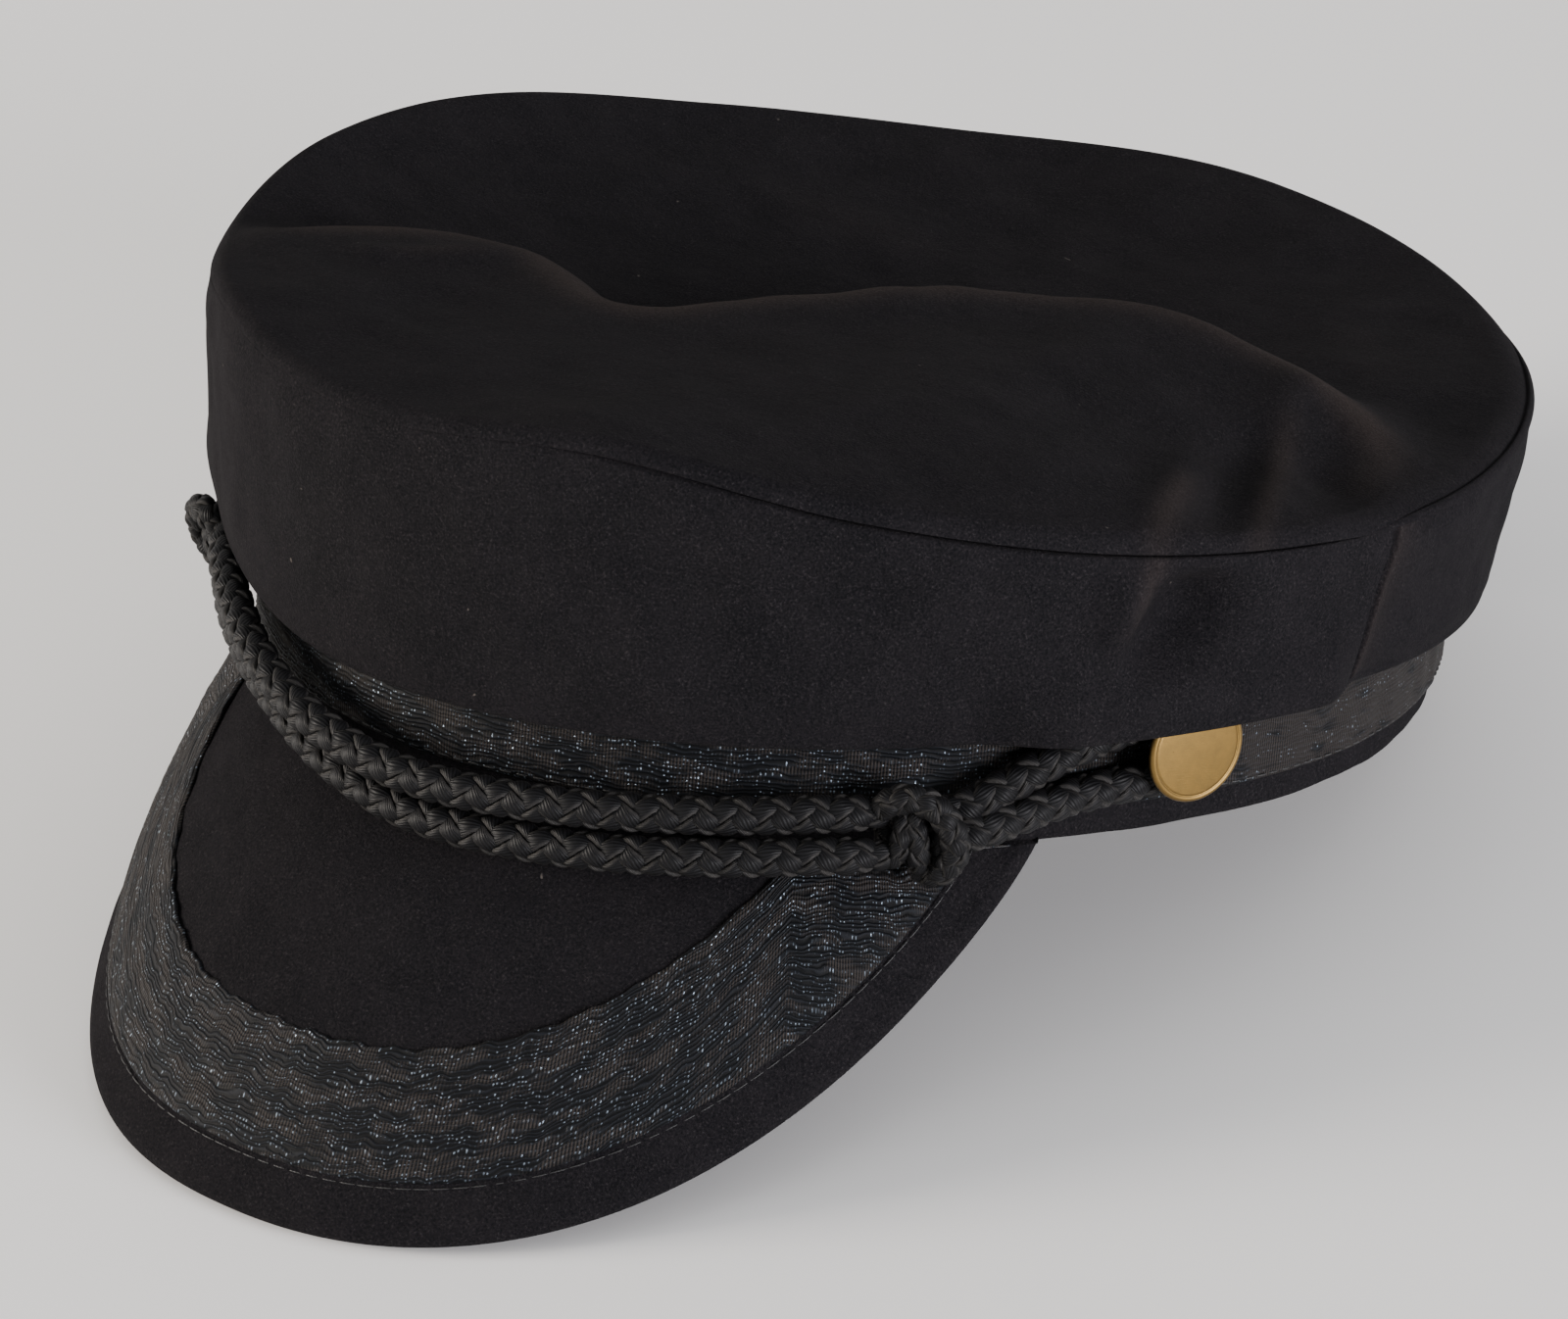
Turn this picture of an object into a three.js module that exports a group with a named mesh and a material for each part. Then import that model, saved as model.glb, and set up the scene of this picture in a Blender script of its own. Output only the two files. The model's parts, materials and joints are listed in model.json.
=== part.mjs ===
// A breton fisherman cap of black wool: a soft flat crown that slouches to the wearer's left,
// a ribboned band, a short steep peak with its own ribbon, and a knotted cord held by two buttons.
// Lengths are millimetres and angles are degrees. The cap is drawn first in its own frame:
// +Y is the back of the head, +X the wearer's left, and Z is height above the band's lower edge.
// An azimuth turns from the front of the cap (0) toward the wearer's left (90).
import * as THREE from 'three';
import { mergeVertices } from 'three/addons/utils/BufferGeometryUtils.js';

// Head band
const bandLength = 199.6;
const bandWidth = 171.6;
const bandWall = 2.4;
const seamAllowance = 4;
const outlinePower = 1.9;
const clearance = 0.3;
const seamGap = 0.45;

// Ribbon round the band
const stripHeight = 4.5;
const ribbonWidth = 20.5;
const ribbonThickness = 1;

// Crown
const crownHeight = 54;
const crownOverhang = 10;
const crownWall = 2;
const foldHeight = 15.5;
const valleyDepth = 12.5;

// Peak
const peakCorner = 57.3;
const peakReach = 36.2;
const peakDrop = 52.8;
const peakSideDrop = 15.8;
const peakBulge = 4;
const peakThickness = 2.8;
const peakRibbonMargin = 8.5;
const peakRibbonWidth = 18;

// Cord, knots and buttons
const cordDiameter = 5.4;
const knotAzimuth = 46;
const buttonAzimuth = 68;
const buttonHeight = 14.6;
const buttonDiameter = 15.5;
const buttonThickness = 1.2;
const shankDiameter = 3.2;

// How finely the curved pieces are divided
const roundSteps = 64;
const peakSteps = 36;
const cordSides = 8;

const DEG = Math.PI / 180;
const ribbonFace = clearance + ribbonThickness;
const ribbonTop = stripHeight + ribbonWidth;
const bandHeight = ribbonTop + seamAllowance;
const cordSeat = ribbonFace + clearance + cordDiameter / 2;
const buttonBack = ribbonFace + cordDiameter + 2 * clearance;
const buttonFace = buttonBack + buttonThickness;
const cordPitch = cordDiameter + clearance;
const knotLength = 2.04 * cordDiameter;
const knotHeight = 2.3 * cordDiameter;
const knotDepth = 1.63 * cordDiameter;
const knotSeat = ribbonFace + clearance + knotDepth / 2;

// The rim seam and the lower fold round the crown, as shares of crownHeight and foldHeight:
// the crown slouches, low over the wearer's left ear and high over the right one.
const crownRows = [
  { azimuth: 0, rim: 0.98, fold: 0.96 },
  { azimuth: 20, rim: 1.01, fold: 0.97 },
  { azimuth: 40, rim: 0.90, fold: 1.03 },
  { azimuth: 60, rim: 0.815, fold: 1.14 },
  { azimuth: 80, rim: 0.785, fold: 1.19 },
  { azimuth: 100, rim: 0.80, fold: 1.13 },
  { azimuth: 122, rim: 0.845, fold: 1.07 },
  { azimuth: 145, rim: 0.89, fold: 1.08 },
  { azimuth: 168, rim: 0.97, fold: 1.12 },
  { azimuth: 190, rim: 1.03, fold: 1.17 },
  { azimuth: 215, rim: 1.04, fold: 1.22 },
  { azimuth: 238, rim: 1.10, fold: 1.28 },
  { azimuth: 262, rim: 1.175, fold: 1.32 },
  { azimuth: 285, rim: 1.145, fold: 1.33 },
  { azimuth: 310, rim: 1.03, fold: 1.30 },
  { azimuth: 328, rim: 1.05, fold: 1.16 },
  { azimuth: 345, rim: 1.00, fold: 1.00 },
];

// The side wall's section: how far it stands out, as a share of crownOverhang, against the
// share of its rise from the lower fold to the rim seam.
const wallRows = [
  { rise: 0, out: 0.65 },
  { rise: 0.12, out: 0.76 },
  { rise: 0.35, out: 0.85 },
  { rise: 0.62, out: 0.95 },
  { rise: 0.85, out: 1.02 },
  { rise: 1, out: 1.00 },
];

// Dents and ridges in the side wall: place, half width in degrees, half height as a share of
// the rise, and depth as a share of crownOverhang (a ridge is negative).
const wallDents = [
  { azimuth: 69, rise: 0.70, spread: 4.2, tall: 0.24, depth: 0.30 },
  { azimuth: 64, rise: 0.38, spread: 4.0, tall: 0.24, depth: 0.24 },
  { azimuth: 61, rise: 0.62, spread: 2.6, tall: 0.34, depth: -0.16 },
  { azimuth: 93, rise: 0.45, spread: 9.0, tall: 0.40, depth: 0.12 },
  { azimuth: 26, rise: 0.30, spread: 16, tall: 0.30, depth: -0.10 },
  { azimuth: 150, rise: 0.50, spread: 14, tall: 0.40, depth: 0.16 },
  { azimuth: 205, rise: 0.55, spread: 12, tall: 0.35, depth: 0.18 },
  { azimuth: 252, rise: 0.45, spread: 16, tall: 0.35, depth: 0.14 },
  { azimuth: 308, rise: 0.25, spread: 12, tall: 0.30, depth: -0.12 },
];

// The crest across the top panel: across and along are shares of the crown's half width and
// half length, lift is a share of crownHeight.
const crestRows = [
  { across: -0.72, along: -0.60, lift: 1.07 },
  { across: -0.56, along: -0.42, lift: 1.04 },
  { across: -0.38, along: -0.36, lift: 1.02 },
  { across: -0.12, along: -0.44, lift: 0.99 },
  { across: 0.00, along: -0.26, lift: 1.00 },
  { across: 0.16, along: 0.00, lift: 1.01 },
  { across: 0.38, along: 0.15, lift: 1.00 },
  { across: 0.58, along: 0.17, lift: 0.95 },
  { across: 0.76, along: 0.13, lift: 0.88 },
  { across: 0.88, along: 0.07, lift: 0.81 },
  { across: 0.98, along: -0.01, lift: 0.76 },
];

// Short creases in the top panel, from one place to another as shares of the half width and
// half length: a positive lift is a ridge and a negative one a furrow, as shares of
// crownOverhang, and spread is a share of crownOverhang too.
const topCreases = [
  { across: 0.90, along: -0.46, toAcross: 0.77, toAlong: -0.21, spread: 0.55, lift: 0.30 },
  { across: 0.90, along: -0.22, toAcross: 0.68, toAlong: 0.12, spread: 0.55, lift: 0.26 },
  { across: 0.92, along: -0.34, toAcross: 0.74, toAlong: -0.06, spread: 0.60, lift: -0.24 },
  { across: 0.93, along: -0.08, toAcross: 0.76, toAlong: 0.08, spread: 0.60, lift: -0.20 },
  { across: -0.66, along: -0.30, toAcross: -0.42, toAlong: -0.16, spread: 0.90, lift: 0.22 },
  { across: -0.62, along: 0.38, toAcross: -0.16, toAlong: 0.44, spread: 1.30, lift: 0.24 },
  { across: 0.40, along: 0.62, toAcross: 0.72, toAlong: 0.34, spread: 1.20, lift: 0.26 },
];

// The pair of cords between the knots: height and stand-off of its middle and its lean, the
// first two in cord diameters. It droops onto the peak in front and rises to the far knot.
const cordRows = [
  { azimuth: -1.00, height: 2.52, out: 1.06, lean: -6 },
  { azimuth: -0.65, height: 1.94, out: 1.12, lean: -14 },
  { azimuth: -0.40, height: 1.32, out: 1.30, lean: -24 },
  { azimuth: -0.18, height: 0.72, out: 1.46, lean: -20 },
  { azimuth: 0.08, height: 0.32, out: 1.60, lean: -10 },
  { azimuth: 0.35, height: 0.35, out: 1.60, lean: 4 },
  { azimuth: 0.62, height: 0.57, out: 1.54, lean: 18 },
  { azimuth: 0.85, height: 0.80, out: 1.38, lean: 20 },
  { azimuth: 1.00, height: 0.86, out: 1.20, lean: 16 },
];

// A cubic curve through rows sorted by one column; period closes it into a ring
function curveThrough(rows, key, column, at, period = 0) {
  const count = rows.length;
  const row = (k) => {
    if (!period) {
      const held = rows[THREE.MathUtils.clamp(k, 0, count - 1)];
      return [held[key], held[column]];
    }
    const wrapped = rows[((k % count) + count) % count];
    return [wrapped[key] + period * Math.floor(k / count), wrapped[column]];
  };
  const place = period ? ((at % period) + period) % period : at;
  let next = rows.findIndex((entry) => entry[key] > place);
  if (next < 0) next = period ? count : count - 1;
  if (!period) next = Math.max(next, 1);
  const [x0, y0] = row(next - 2);
  const [x1, y1] = row(next - 1);
  const [x2, y2] = row(next);
  const [x3, y3] = row(next + 1);
  const width = x2 - x1;
  const t = THREE.MathUtils.clamp((place - x1) / width, 0, 1);
  const slope1 = ((y2 - y0) / (x2 - x0)) * width;
  const slope2 = ((y3 - y1) / (x3 - x1)) * width;
  const rest = 1 - t;
  return rest * rest * (1 + 2 * t) * y1 + t * t * (3 - 2 * t) * y2
    + rest * rest * t * slope1 - t * t * rest * slope2;
}

// Rises smoothly from 0 to 1, or with from above to falls from 1 to 0
function smooth(from, to, value) {
  if (from > to) return 1 - THREE.MathUtils.smoothstep(value, to, from);
  return THREE.MathUtils.smoothstep(value, from, to);
}

function signedPower(value, power) {
  return Math.sign(value) * Math.abs(value) ** power;
}

// A point of the head's egg-round outline, standOff outside the band and at a height
function around(azimuth, standOff, height) {
  const power = 2 / outlinePower;
  return new THREE.Vector3(
    (bandWidth / 2 + standOff) * signedPower(Math.sin(azimuth * DEG), power),
    -(bandLength / 2 + standOff) * signedPower(Math.cos(azimuth * DEG), power),
    height,
  );
}

// Millimetres travelled along the outline for each degree of azimuth
function stride(azimuth, standOff) {
  const step = 0.5;
  const before = around(azimuth - step, standOff, 0);
  const after = around(azimuth + step, standOff, 0);
  return before.distanceTo(after) / (2 * step);
}

// Unit vector along the outline, toward greater azimuth, and the one that points out of it
function outlineAxes(azimuth) {
  const step = 0.5;
  const along = around(azimuth + step, 0, 0).sub(around(azimuth - step, 0, 0)).normalize();
  const out = new THREE.Vector3(-along.y, along.x, 0).negate();
  return { along, out };
}

// A closed solid from points and triangles, turned so that its faces point out
function solidFrom(points, faces) {
  const flat = new Float32Array(points.length * 3);
  points.forEach((point, index) => point.toArray(flat, index * 3));
  let geometry = new THREE.BufferGeometry();
  geometry.setAttribute('position', new THREE.BufferAttribute(flat, 3));
  geometry.setIndex(faces.flat());
  geometry = mergeVertices(geometry, 1e-4);
  const a = new THREE.Vector3();
  const b = new THREE.Vector3();
  const c = new THREE.Vector3();
  const position = geometry.attributes.position;
  const kept = [];
  let volume = 0;
  for (let i = 0; i < geometry.index.count; i += 3) {
    const corner = [0, 1, 2].map((k) => geometry.index.getX(i + k));
    if (new Set(corner).size < 3) continue;
    kept.push(corner);
    a.fromBufferAttribute(position, corner[0]);
    b.fromBufferAttribute(position, corner[1]);
    c.fromBufferAttribute(position, corner[2]);
    volume += a.dot(b.cross(c));
  }
  geometry.setIndex((volume < 0 ? kept.map(([p, q, r]) => [p, r, q]) : kept).flat());
  geometry.computeVertexNormals();
  return geometry;
}

// A section, given as a function of azimuth that returns a closed loop of points, swept round
function sweptRing(section) {
  const points = [];
  const faces = [];
  let size = 0;
  for (let i = 0; i < roundSteps; i += 1) {
    const loop = section((360 * i) / roundSteps);
    size = loop.length;
    points.push(...loop);
  }
  for (let i = 0; i < roundSteps; i += 1) {
    const j = (i + 1) % roundSteps;
    for (let k = 0; k < size; k += 1) {
      const l = (k + 1) % size;
      faces.push([i * size + k, j * size + k, j * size + l]);
      faces.push([i * size + k, j * size + l, i * size + l]);
    }
  }
  return solidFrom(points, faces);
}

// A thin plate between two sheets, each a function of (u, v) in 0..1
function plate(upper, lower, stepsU, stepsV) {
  const points = [];
  const faces = [];
  const rowSize = stepsV + 1;
  for (const sheet of [upper, lower]) {
    for (let i = 0; i <= stepsU; i += 1) {
      for (let j = 0; j <= stepsV; j += 1) points.push(sheet(i / stepsU, j / stepsV));
    }
  }
  const sheetSize = (stepsU + 1) * rowSize;
  const at = (side, i, j) => side * sheetSize + i * rowSize + j;
  const quad = (p, q, r, s) => faces.push([p, q, r], [p, r, s]);
  for (let i = 0; i < stepsU; i += 1) {
    for (let j = 0; j < stepsV; j += 1) {
      quad(at(0, i, j), at(0, i + 1, j), at(0, i + 1, j + 1), at(0, i, j + 1));
      quad(at(1, i, j), at(1, i, j + 1), at(1, i + 1, j + 1), at(1, i + 1, j));
    }
    quad(at(0, i, 0), at(1, i, 0), at(1, i + 1, 0), at(0, i + 1, 0));
    quad(at(0, i, stepsV), at(0, i + 1, stepsV), at(1, i + 1, stepsV), at(1, i, stepsV));
  }
  for (let j = 0; j < stepsV; j += 1) {
    quad(at(0, 0, j), at(0, 0, j + 1), at(1, 0, j + 1), at(1, 0, j));
    quad(at(0, stepsU, j), at(1, stepsU, j), at(1, stepsU, j + 1), at(0, stepsU, j + 1));
  }
  return solidFrom(points, faces);
}

// A round cord along a smooth line through points
function tube(points, steps) {
  const path = new THREE.CatmullRomCurve3(points, false, 'centripetal');
  const round = new THREE.Shape();
  for (let i = 0; i < cordSides; i += 1) {
    const angle = (2 * Math.PI * i) / cordSides;
    const x = (cordDiameter / 2) * Math.cos(angle);
    const y = (cordDiameter / 2) * Math.sin(angle);
    if (i === 0) round.moveTo(x, y);
    else round.lineTo(x, y);
  }
  round.closePath();
  return new THREE.ExtrudeGeometry(round, { steps, bevelEnabled: false, extrudePath: path });
}

// Crown
function rimHeight(azimuth) {
  return crownHeight * curveThrough(crownRows, 'azimuth', 'rim', azimuth, 360);
}

function foldLevel(azimuth) {
  return foldHeight * curveThrough(crownRows, 'azimuth', 'fold', azimuth, 360);
}

// 1 over each button, where the crown's fold stands clear of the button and the cord
function buttonCover(azimuth) {
  const open = buttonAzimuth - peakCorner;
  const near = (side) => {
    const turn = ((azimuth - side * buttonAzimuth + 540) % 360) - 180;
    return smooth(open + 8, open, Math.abs(turn));
  };
  return Math.max(near(1), near(-1));
}

function wallOut(azimuth, rise) {
  let out = crownOverhang * curveThrough(wallRows, 'rise', 'out', rise);
  for (const dent of wallDents) {
    const turn = ((azimuth - dent.azimuth + 540) % 360) - 180;
    const across = (turn / dent.spread) ** 2;
    const up = ((rise - dent.rise) / dent.tall) ** 2;
    out -= crownOverhang * dent.depth * Math.exp(-across - up) * smooth(1, 0.8, rise);
  }
  const cover = buttonFace + 3 * clearance + crownWall;
  return THREE.MathUtils.lerp(out, Math.max(out, cover), buttonCover(azimuth) * smooth(0.6, 0.1, rise));
}

const halfAcross = bandWidth / 2 + crownOverhang;
const halfAlong = bandLength / 2 + crownOverhang;
const crestCurve = new THREE.CatmullRomCurve3(
  crestRows.map((row) => new THREE.Vector3(row.across * halfAcross, row.along * halfAlong, row.lift)),
);
const crestPoints = crestCurve.getPoints(90);

// Distance from the crest, positive on the low near side, with the crest's lift about there:
// a mean over the crest in which near points count most, so that it changes without a step
function crestDistance(x, y) {
  const spread = 1.4 * crownOverhang;
  let best = Infinity;
  let side = 1;
  let lifts = 0;
  let weights = 0;
  for (let i = 0; i + 1 < crestPoints.length; i += 1) {
    const from = crestPoints[i];
    const to = crestPoints[i + 1];
    const runX = to.x - from.x;
    const runY = to.y - from.y;
    const t = THREE.MathUtils.clamp(
      ((x - from.x) * runX + (y - from.y) * runY) / (runX * runX + runY * runY), 0, 1);
    const offX = x - from.x - t * runX;
    const offY = y - from.y - t * runY;
    const distance = Math.hypot(offX, offY);
    const weight = (distance * distance + spread * spread) ** -2;
    lifts += weight * THREE.MathUtils.lerp(from.z, to.z, t);
    weights += weight;
    if (distance < best) {
      best = distance;
      side = Math.sign(offX * runY - offY * runX) || 1;
    }
  }
  return { distance: best * side, lift: lifts / weights };
}

function creaseLift(x, y) {
  let lift = 0;
  for (const crease of topCreases) {
    const fromX = crease.across * halfAcross;
    const fromY = crease.along * halfAlong;
    const runX = crease.toAcross * halfAcross - fromX;
    const runY = crease.toAlong * halfAlong - fromY;
    const t = THREE.MathUtils.clamp(
      ((x - fromX) * runX + (y - fromY) * runY) / (runX * runX + runY * runY), 0, 1);
    const away = Math.hypot(x - fromX - t * runX, y - fromY - t * runY);
    const fade = 1 - 0.6 * t;
    lift += crownOverhang * crease.lift * fade * Math.exp(-((away / (crownOverhang * crease.spread)) ** 2));
  }
  return lift;
}

// The top panel: a pillow in front of the crest, a valley behind it and a rise to the far rim
function topPoint(azimuth, reach, lift = 0) {
  const point = around(azimuth, crownOverhang, 0);
  point.x *= reach;
  point.y *= reach;
  const crest = crestDistance(point.x, point.y);
  const front = smooth(-1.9 * crownOverhang, 0.4 * crownOverhang, crest.distance);
  const edge = THREE.MathUtils.lerp(reach ** 2.2, reach ** 6, front);
  const pillow = crownHeight * crest.lift;
  const valley = crownHeight - valleyDepth;
  const inner = THREE.MathUtils.lerp(valley, pillow, front) + creaseLift(point.x, point.y);
  const ridge = 0.22 * crownOverhang * Math.exp(-((crest.distance / crownOverhang) ** 2)) * (1 - reach ** 4);
  point.z = THREE.MathUtils.lerp(inner, rimHeight(azimuth), edge) + ridge + lift;
  return point;
}

const wallSteps = 6;
const seatReach = 1 - (1.05 * crownWall) / halfAcross;

function crownSideSection(azimuth) {
  const fold = foldLevel(azimuth);
  const rim = rimHeight(azimuth);
  const cover = buttonCover(azimuth);
  const hem = wallOut(azimuth, 0);
  const bottom = fold + 0.75 * crownWall;
  const under = THREE.MathUtils.lerp(bottom, ribbonTop - crownWall, cover);
  const inner = hem - crownWall;
  const shelf = bandHeight - 0.5 * crownWall;
  const ribbonSide = ribbonFace + clearance;
  const loop = [
    around(azimuth, clearance, bandHeight),
    around(azimuth, clearance, ribbonTop + clearance),
    around(azimuth, ribbonSide, ribbonTop + clearance),
    around(azimuth, ribbonSide, Math.min(under, ribbonTop - crownWall)),
    around(azimuth, inner, Math.min(under, ribbonTop - crownWall) - 0.1 * crownWall),
    around(azimuth, inner + 0.25 * crownWall, fold + 0.25 * crownWall),
    around(azimuth, hem - 0.4 * crownWall, fold),
  ];
  for (let i = 0; i < wallSteps; i += 1) {
    const rise = i / wallSteps;
    loop.push(around(azimuth, wallOut(azimuth, rise), THREE.MathUtils.lerp(bottom, rim, rise)));
  }
  loop.push(topPoint(azimuth, 1));
  loop.push(topPoint(azimuth, seatReach));
  for (let i = wallSteps - 1; i >= 0; i -= 1) {
    const rise = (i + 0.6) / wallSteps;
    const height = THREE.MathUtils.lerp(Math.max(bottom + crownWall, shelf - crownWall), rim, rise);
    loop.push(around(azimuth, wallOut(azimuth, (height - bottom) / (rim - bottom)) - crownWall, height));
  }
  return loop;
}

function crownTop() {
  const reaches = [0, 0.16, 0.3, 0.43, 0.55, 0.66, 0.76, 0.85, 0.92, seatReach, 1];
  const points = [];
  const faces = [];
  const rings = reaches.length - 1;
  for (const lift of [seamGap + crownWall, seamGap]) {
    points.push(topPoint(0, 0, lift));
    for (let k = 1; k <= rings; k += 1) {
      const rounded = k === rings && lift > seamGap ? -0.4 * crownWall : 0;
      for (let i = 0; i < roundSteps; i += 1) {
        points.push(topPoint((360 * i) / roundSteps, reaches[k], lift + rounded));
      }
    }
  }
  const sheet = 1 + rings * roundSteps;
  const at = (side, ring, i) => side * sheet + 1 + (ring - 1) * roundSteps + (i % roundSteps);
  for (let i = 0; i < roundSteps; i += 1) {
    faces.push([0, at(0, 1, i), at(0, 1, i + 1)]);
    faces.push([sheet, at(1, 1, i + 1), at(1, 1, i)]);
    for (let k = 1; k < rings; k += 1) {
      faces.push([at(0, k, i), at(0, k + 1, i), at(0, k + 1, i + 1)]);
      faces.push([at(0, k, i), at(0, k + 1, i + 1), at(0, k, i + 1)]);
      faces.push([at(1, k, i), at(1, k + 1, i + 1), at(1, k + 1, i)]);
      faces.push([at(1, k, i), at(1, k, i + 1), at(1, k + 1, i + 1)]);
    }
    faces.push([at(0, rings, i), at(1, rings, i), at(1, rings, i + 1)]);
    faces.push([at(0, rings, i), at(1, rings, i + 1), at(0, rings, i + 1)]);
  }
  return solidFrom(points, faces);
}

// Band and its ribbon
function bandSection(azimuth) {
  return [
    around(azimuth, 0, 0),
    around(azimuth, 0, bandHeight),
    around(azimuth, -bandWall, bandHeight),
    around(azimuth, -bandWall, 0),
  ];
}

function ribbonSection(azimuth) {
  return [
    around(azimuth, clearance, stripHeight),
    around(azimuth, ribbonFace, stripHeight),
    around(azimuth, ribbonFace, ribbonTop),
    around(azimuth, clearance, ribbonTop),
  ];
}

// Peak: across runs from -1 to 1 between its corners, and reach from 0 at the band to 1
const peakPowers = { across: 0.9, forward: 1.12 };
const peakBulgeOut = 0.6;
const peakBulgeUp = 0.8;
const peakSeatDrop = 0.2;

function peakEdge(across) {
  const corner = around(peakCorner, 0, 0);
  const angle = (across * Math.PI) / 2;
  const forward = bandLength / 2 + peakReach + corner.y;
  return new THREE.Vector3(
    corner.x * signedPower(Math.sin(angle), peakPowers.across),
    corner.y - forward * Math.abs(Math.cos(angle)) ** peakPowers.forward,
    -(peakDrop + peakSideDrop * Math.sin(angle) ** 2) * Math.cos(angle),
  );
}

function peakPoint(across, reach) {
  const base = around(across * peakCorner, clearance, -peakSeatDrop);
  const bulge = peakBulge * 4 * reach * (1 - reach) * (1 - Math.abs(across) ** 3);
  const out = new THREE.Vector3(base.x, base.y, 0).normalize();
  return base.lerp(peakEdge(across), reach)
    .addScaledVector(out, peakBulgeOut * bulge)
    .add(new THREE.Vector3(0, 0, peakBulgeUp * bulge));
}

// The peak's surface raised or sunk along its normal
function peakOffset(across, reach, lift) {
  const step = 0.004;
  const near = THREE.MathUtils.clamp(reach, step, 1 - step);
  const sideways = peakPoint(across + step, near).sub(peakPoint(across - step, near));
  const forward = peakPoint(across, near + step).sub(peakPoint(across, near - step));
  return peakPoint(across, reach).addScaledVector(forward.cross(sideways).normalize(), lift);
}

const cornerShare = 0.975;
const peakColumn = (u) => cornerShare * (2 * u - 1);
const edgeLine = Array.from({ length: 161 }, (_, i) => peakEdge(-1 + i / 80));

// How far along the peak's surface, from the band, the line lies that keeps this margin
function reachAtMargin(across, margin) {
  let low = 0.03;
  let high = 1;
  for (let i = 0; i < 16; i += 1) {
    const middle = (low + high) / 2;
    const point = peakPoint(across, middle);
    const away = Math.min(...edgeLine.map((edge) => edge.distanceTo(point)));
    if (away > margin) low = middle;
    else high = middle;
  }
  return high;
}

function peak() {
  const thin = (across) => peakThickness * (0.3 + 0.7 * smooth(1, 0.8, Math.abs(across)));
  return plate(
    (u, v) => peakOffset(peakColumn(u), v, 0),
    (u, v) => peakOffset(peakColumn(u), v, -thin(peakColumn(u))),
    peakSteps, 7);
}

function peakRibbon() {
  const lines = Array.from({ length: peakSteps - 1 }, (_, i) => {
    const across = peakColumn((i + 1) / peakSteps);
    const outer = reachAtMargin(across, peakRibbonMargin);
    const inner = reachAtMargin(across, peakRibbonMargin + peakRibbonWidth);
    return { across, outer, inner: Math.min(inner, outer - 0.04) };
  });
  const sheet = (lift) => (u, v) => {
    const line = lines[Math.round(u * (peakSteps - 2))];
    return peakOffset(line.across, THREE.MathUtils.lerp(line.inner, line.outer, v), lift);
  };
  return plate(sheet(seamGap + ribbonThickness), sheet(seamGap), peakSteps - 2, 3);
}

// The pair of cords: side is 1 for the upper strand and -1 for the lower one
function strandPoint(share, side) {
  const azimuth = share * knotAzimuth;
  const lean = curveThrough(cordRows, 'azimuth', 'lean', share) * DEG;
  const height = cordDiameter * curveThrough(cordRows, 'azimuth', 'height', share);
  const out = cordDiameter * curveThrough(cordRows, 'azimuth', 'out', share);
  return around(
    azimuth,
    out - side * (cordPitch / 2) * Math.sin(lean),
    height + side * (cordPitch / 2) * Math.cos(lean),
  );
}

function knotEnd(azimuth) {
  return (knotLength / 2 + 2 * clearance) / stride(azimuth, cordSeat);
}

function frontStrand(side) {
  const limit = 1 - knotEnd(knotAzimuth) / knotAzimuth;
  const count = 20;
  const shares = Array.from({ length: count + 1 }, (_, i) => limit * ((2 * i) / count - 1));
  return tube(shares.map((share) => strandPoint(share, side)), 36);
}

// The cord's bight: from the knot over the button's shank and back, hand is 1 on the left
function sideLoop(hand) {
  const loopRadius = shankDiameter / 2 + clearance + cordDiameter / 2;
  const start = knotAzimuth + knotEnd(knotAzimuth);
  const perDegree = stride(buttonAzimuth, cordSeat);
  const knot = knotPlace(hand);
  const place = (alongCord, up, out = cordSeat) => (
    around(hand * (buttonAzimuth + alongCord / perDegree), out, buttonHeight + up));
  const endUp = (side) => knot.height + side * 0.5 * cordPitch * Math.cos(knot.lean) - buttonHeight;
  const endOut = (side) => Math.max(knot.out - side * 0.5 * cordPitch * Math.sin(knot.lean), cordSeat);
  const startAlong = (start - buttonAzimuth) * perDegree;
  const side = (sign) => [
    place(startAlong, endUp(sign), endOut(sign)),
    place(startAlong * 0.86, THREE.MathUtils.lerp(endUp(sign), sign * loopRadius, 0.10), endOut(sign)),
    place(startAlong * 0.45, THREE.MathUtils.lerp(endUp(sign), sign * loopRadius, 0.66)),
  ];
  const bend = Array.from({ length: 7 }, (_, i) => {
    const angle = Math.PI / 2 - (Math.PI * i) / 6;
    return place(loopRadius * Math.cos(angle), loopRadius * Math.sin(angle));
  });
  return tube([...side(1), ...bend, ...side(-1).reverse()], 30);
}

function knotPlace(hand) {
  return {
    height: cordDiameter * curveThrough(cordRows, 'azimuth', 'height', hand),
    out: Math.max(cordDiameter * curveThrough(cordRows, 'azimuth', 'out', hand), knotSeat),
    lean: curveThrough(cordRows, 'azimuth', 'lean', hand) * DEG,
  };
}

// A knot of three turns: a ribbed barrel that the two strands run into at both ends
function knotBody() {
  const turns = 3;
  const stepsPerTurn = 4;
  const profile = [new THREE.Vector2(0, -knotLength / 2)];
  for (let i = 0; i <= turns * stepsPerTurn; i += 1) {
    const share = i / (turns * stepsPerTurn);
    const rib = Math.abs(Math.sin(Math.PI * turns * share));
    profile.push(new THREE.Vector2(knotHeight * (0.43 + 0.07 * rib), knotLength * (share - 0.5)));
  }
  profile.push(new THREE.Vector2(0, knotLength / 2));
  const body = new THREE.LatheGeometry(profile, 12);
  body.scale(1, 1, knotDepth / knotHeight);
  return body;
}

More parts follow.
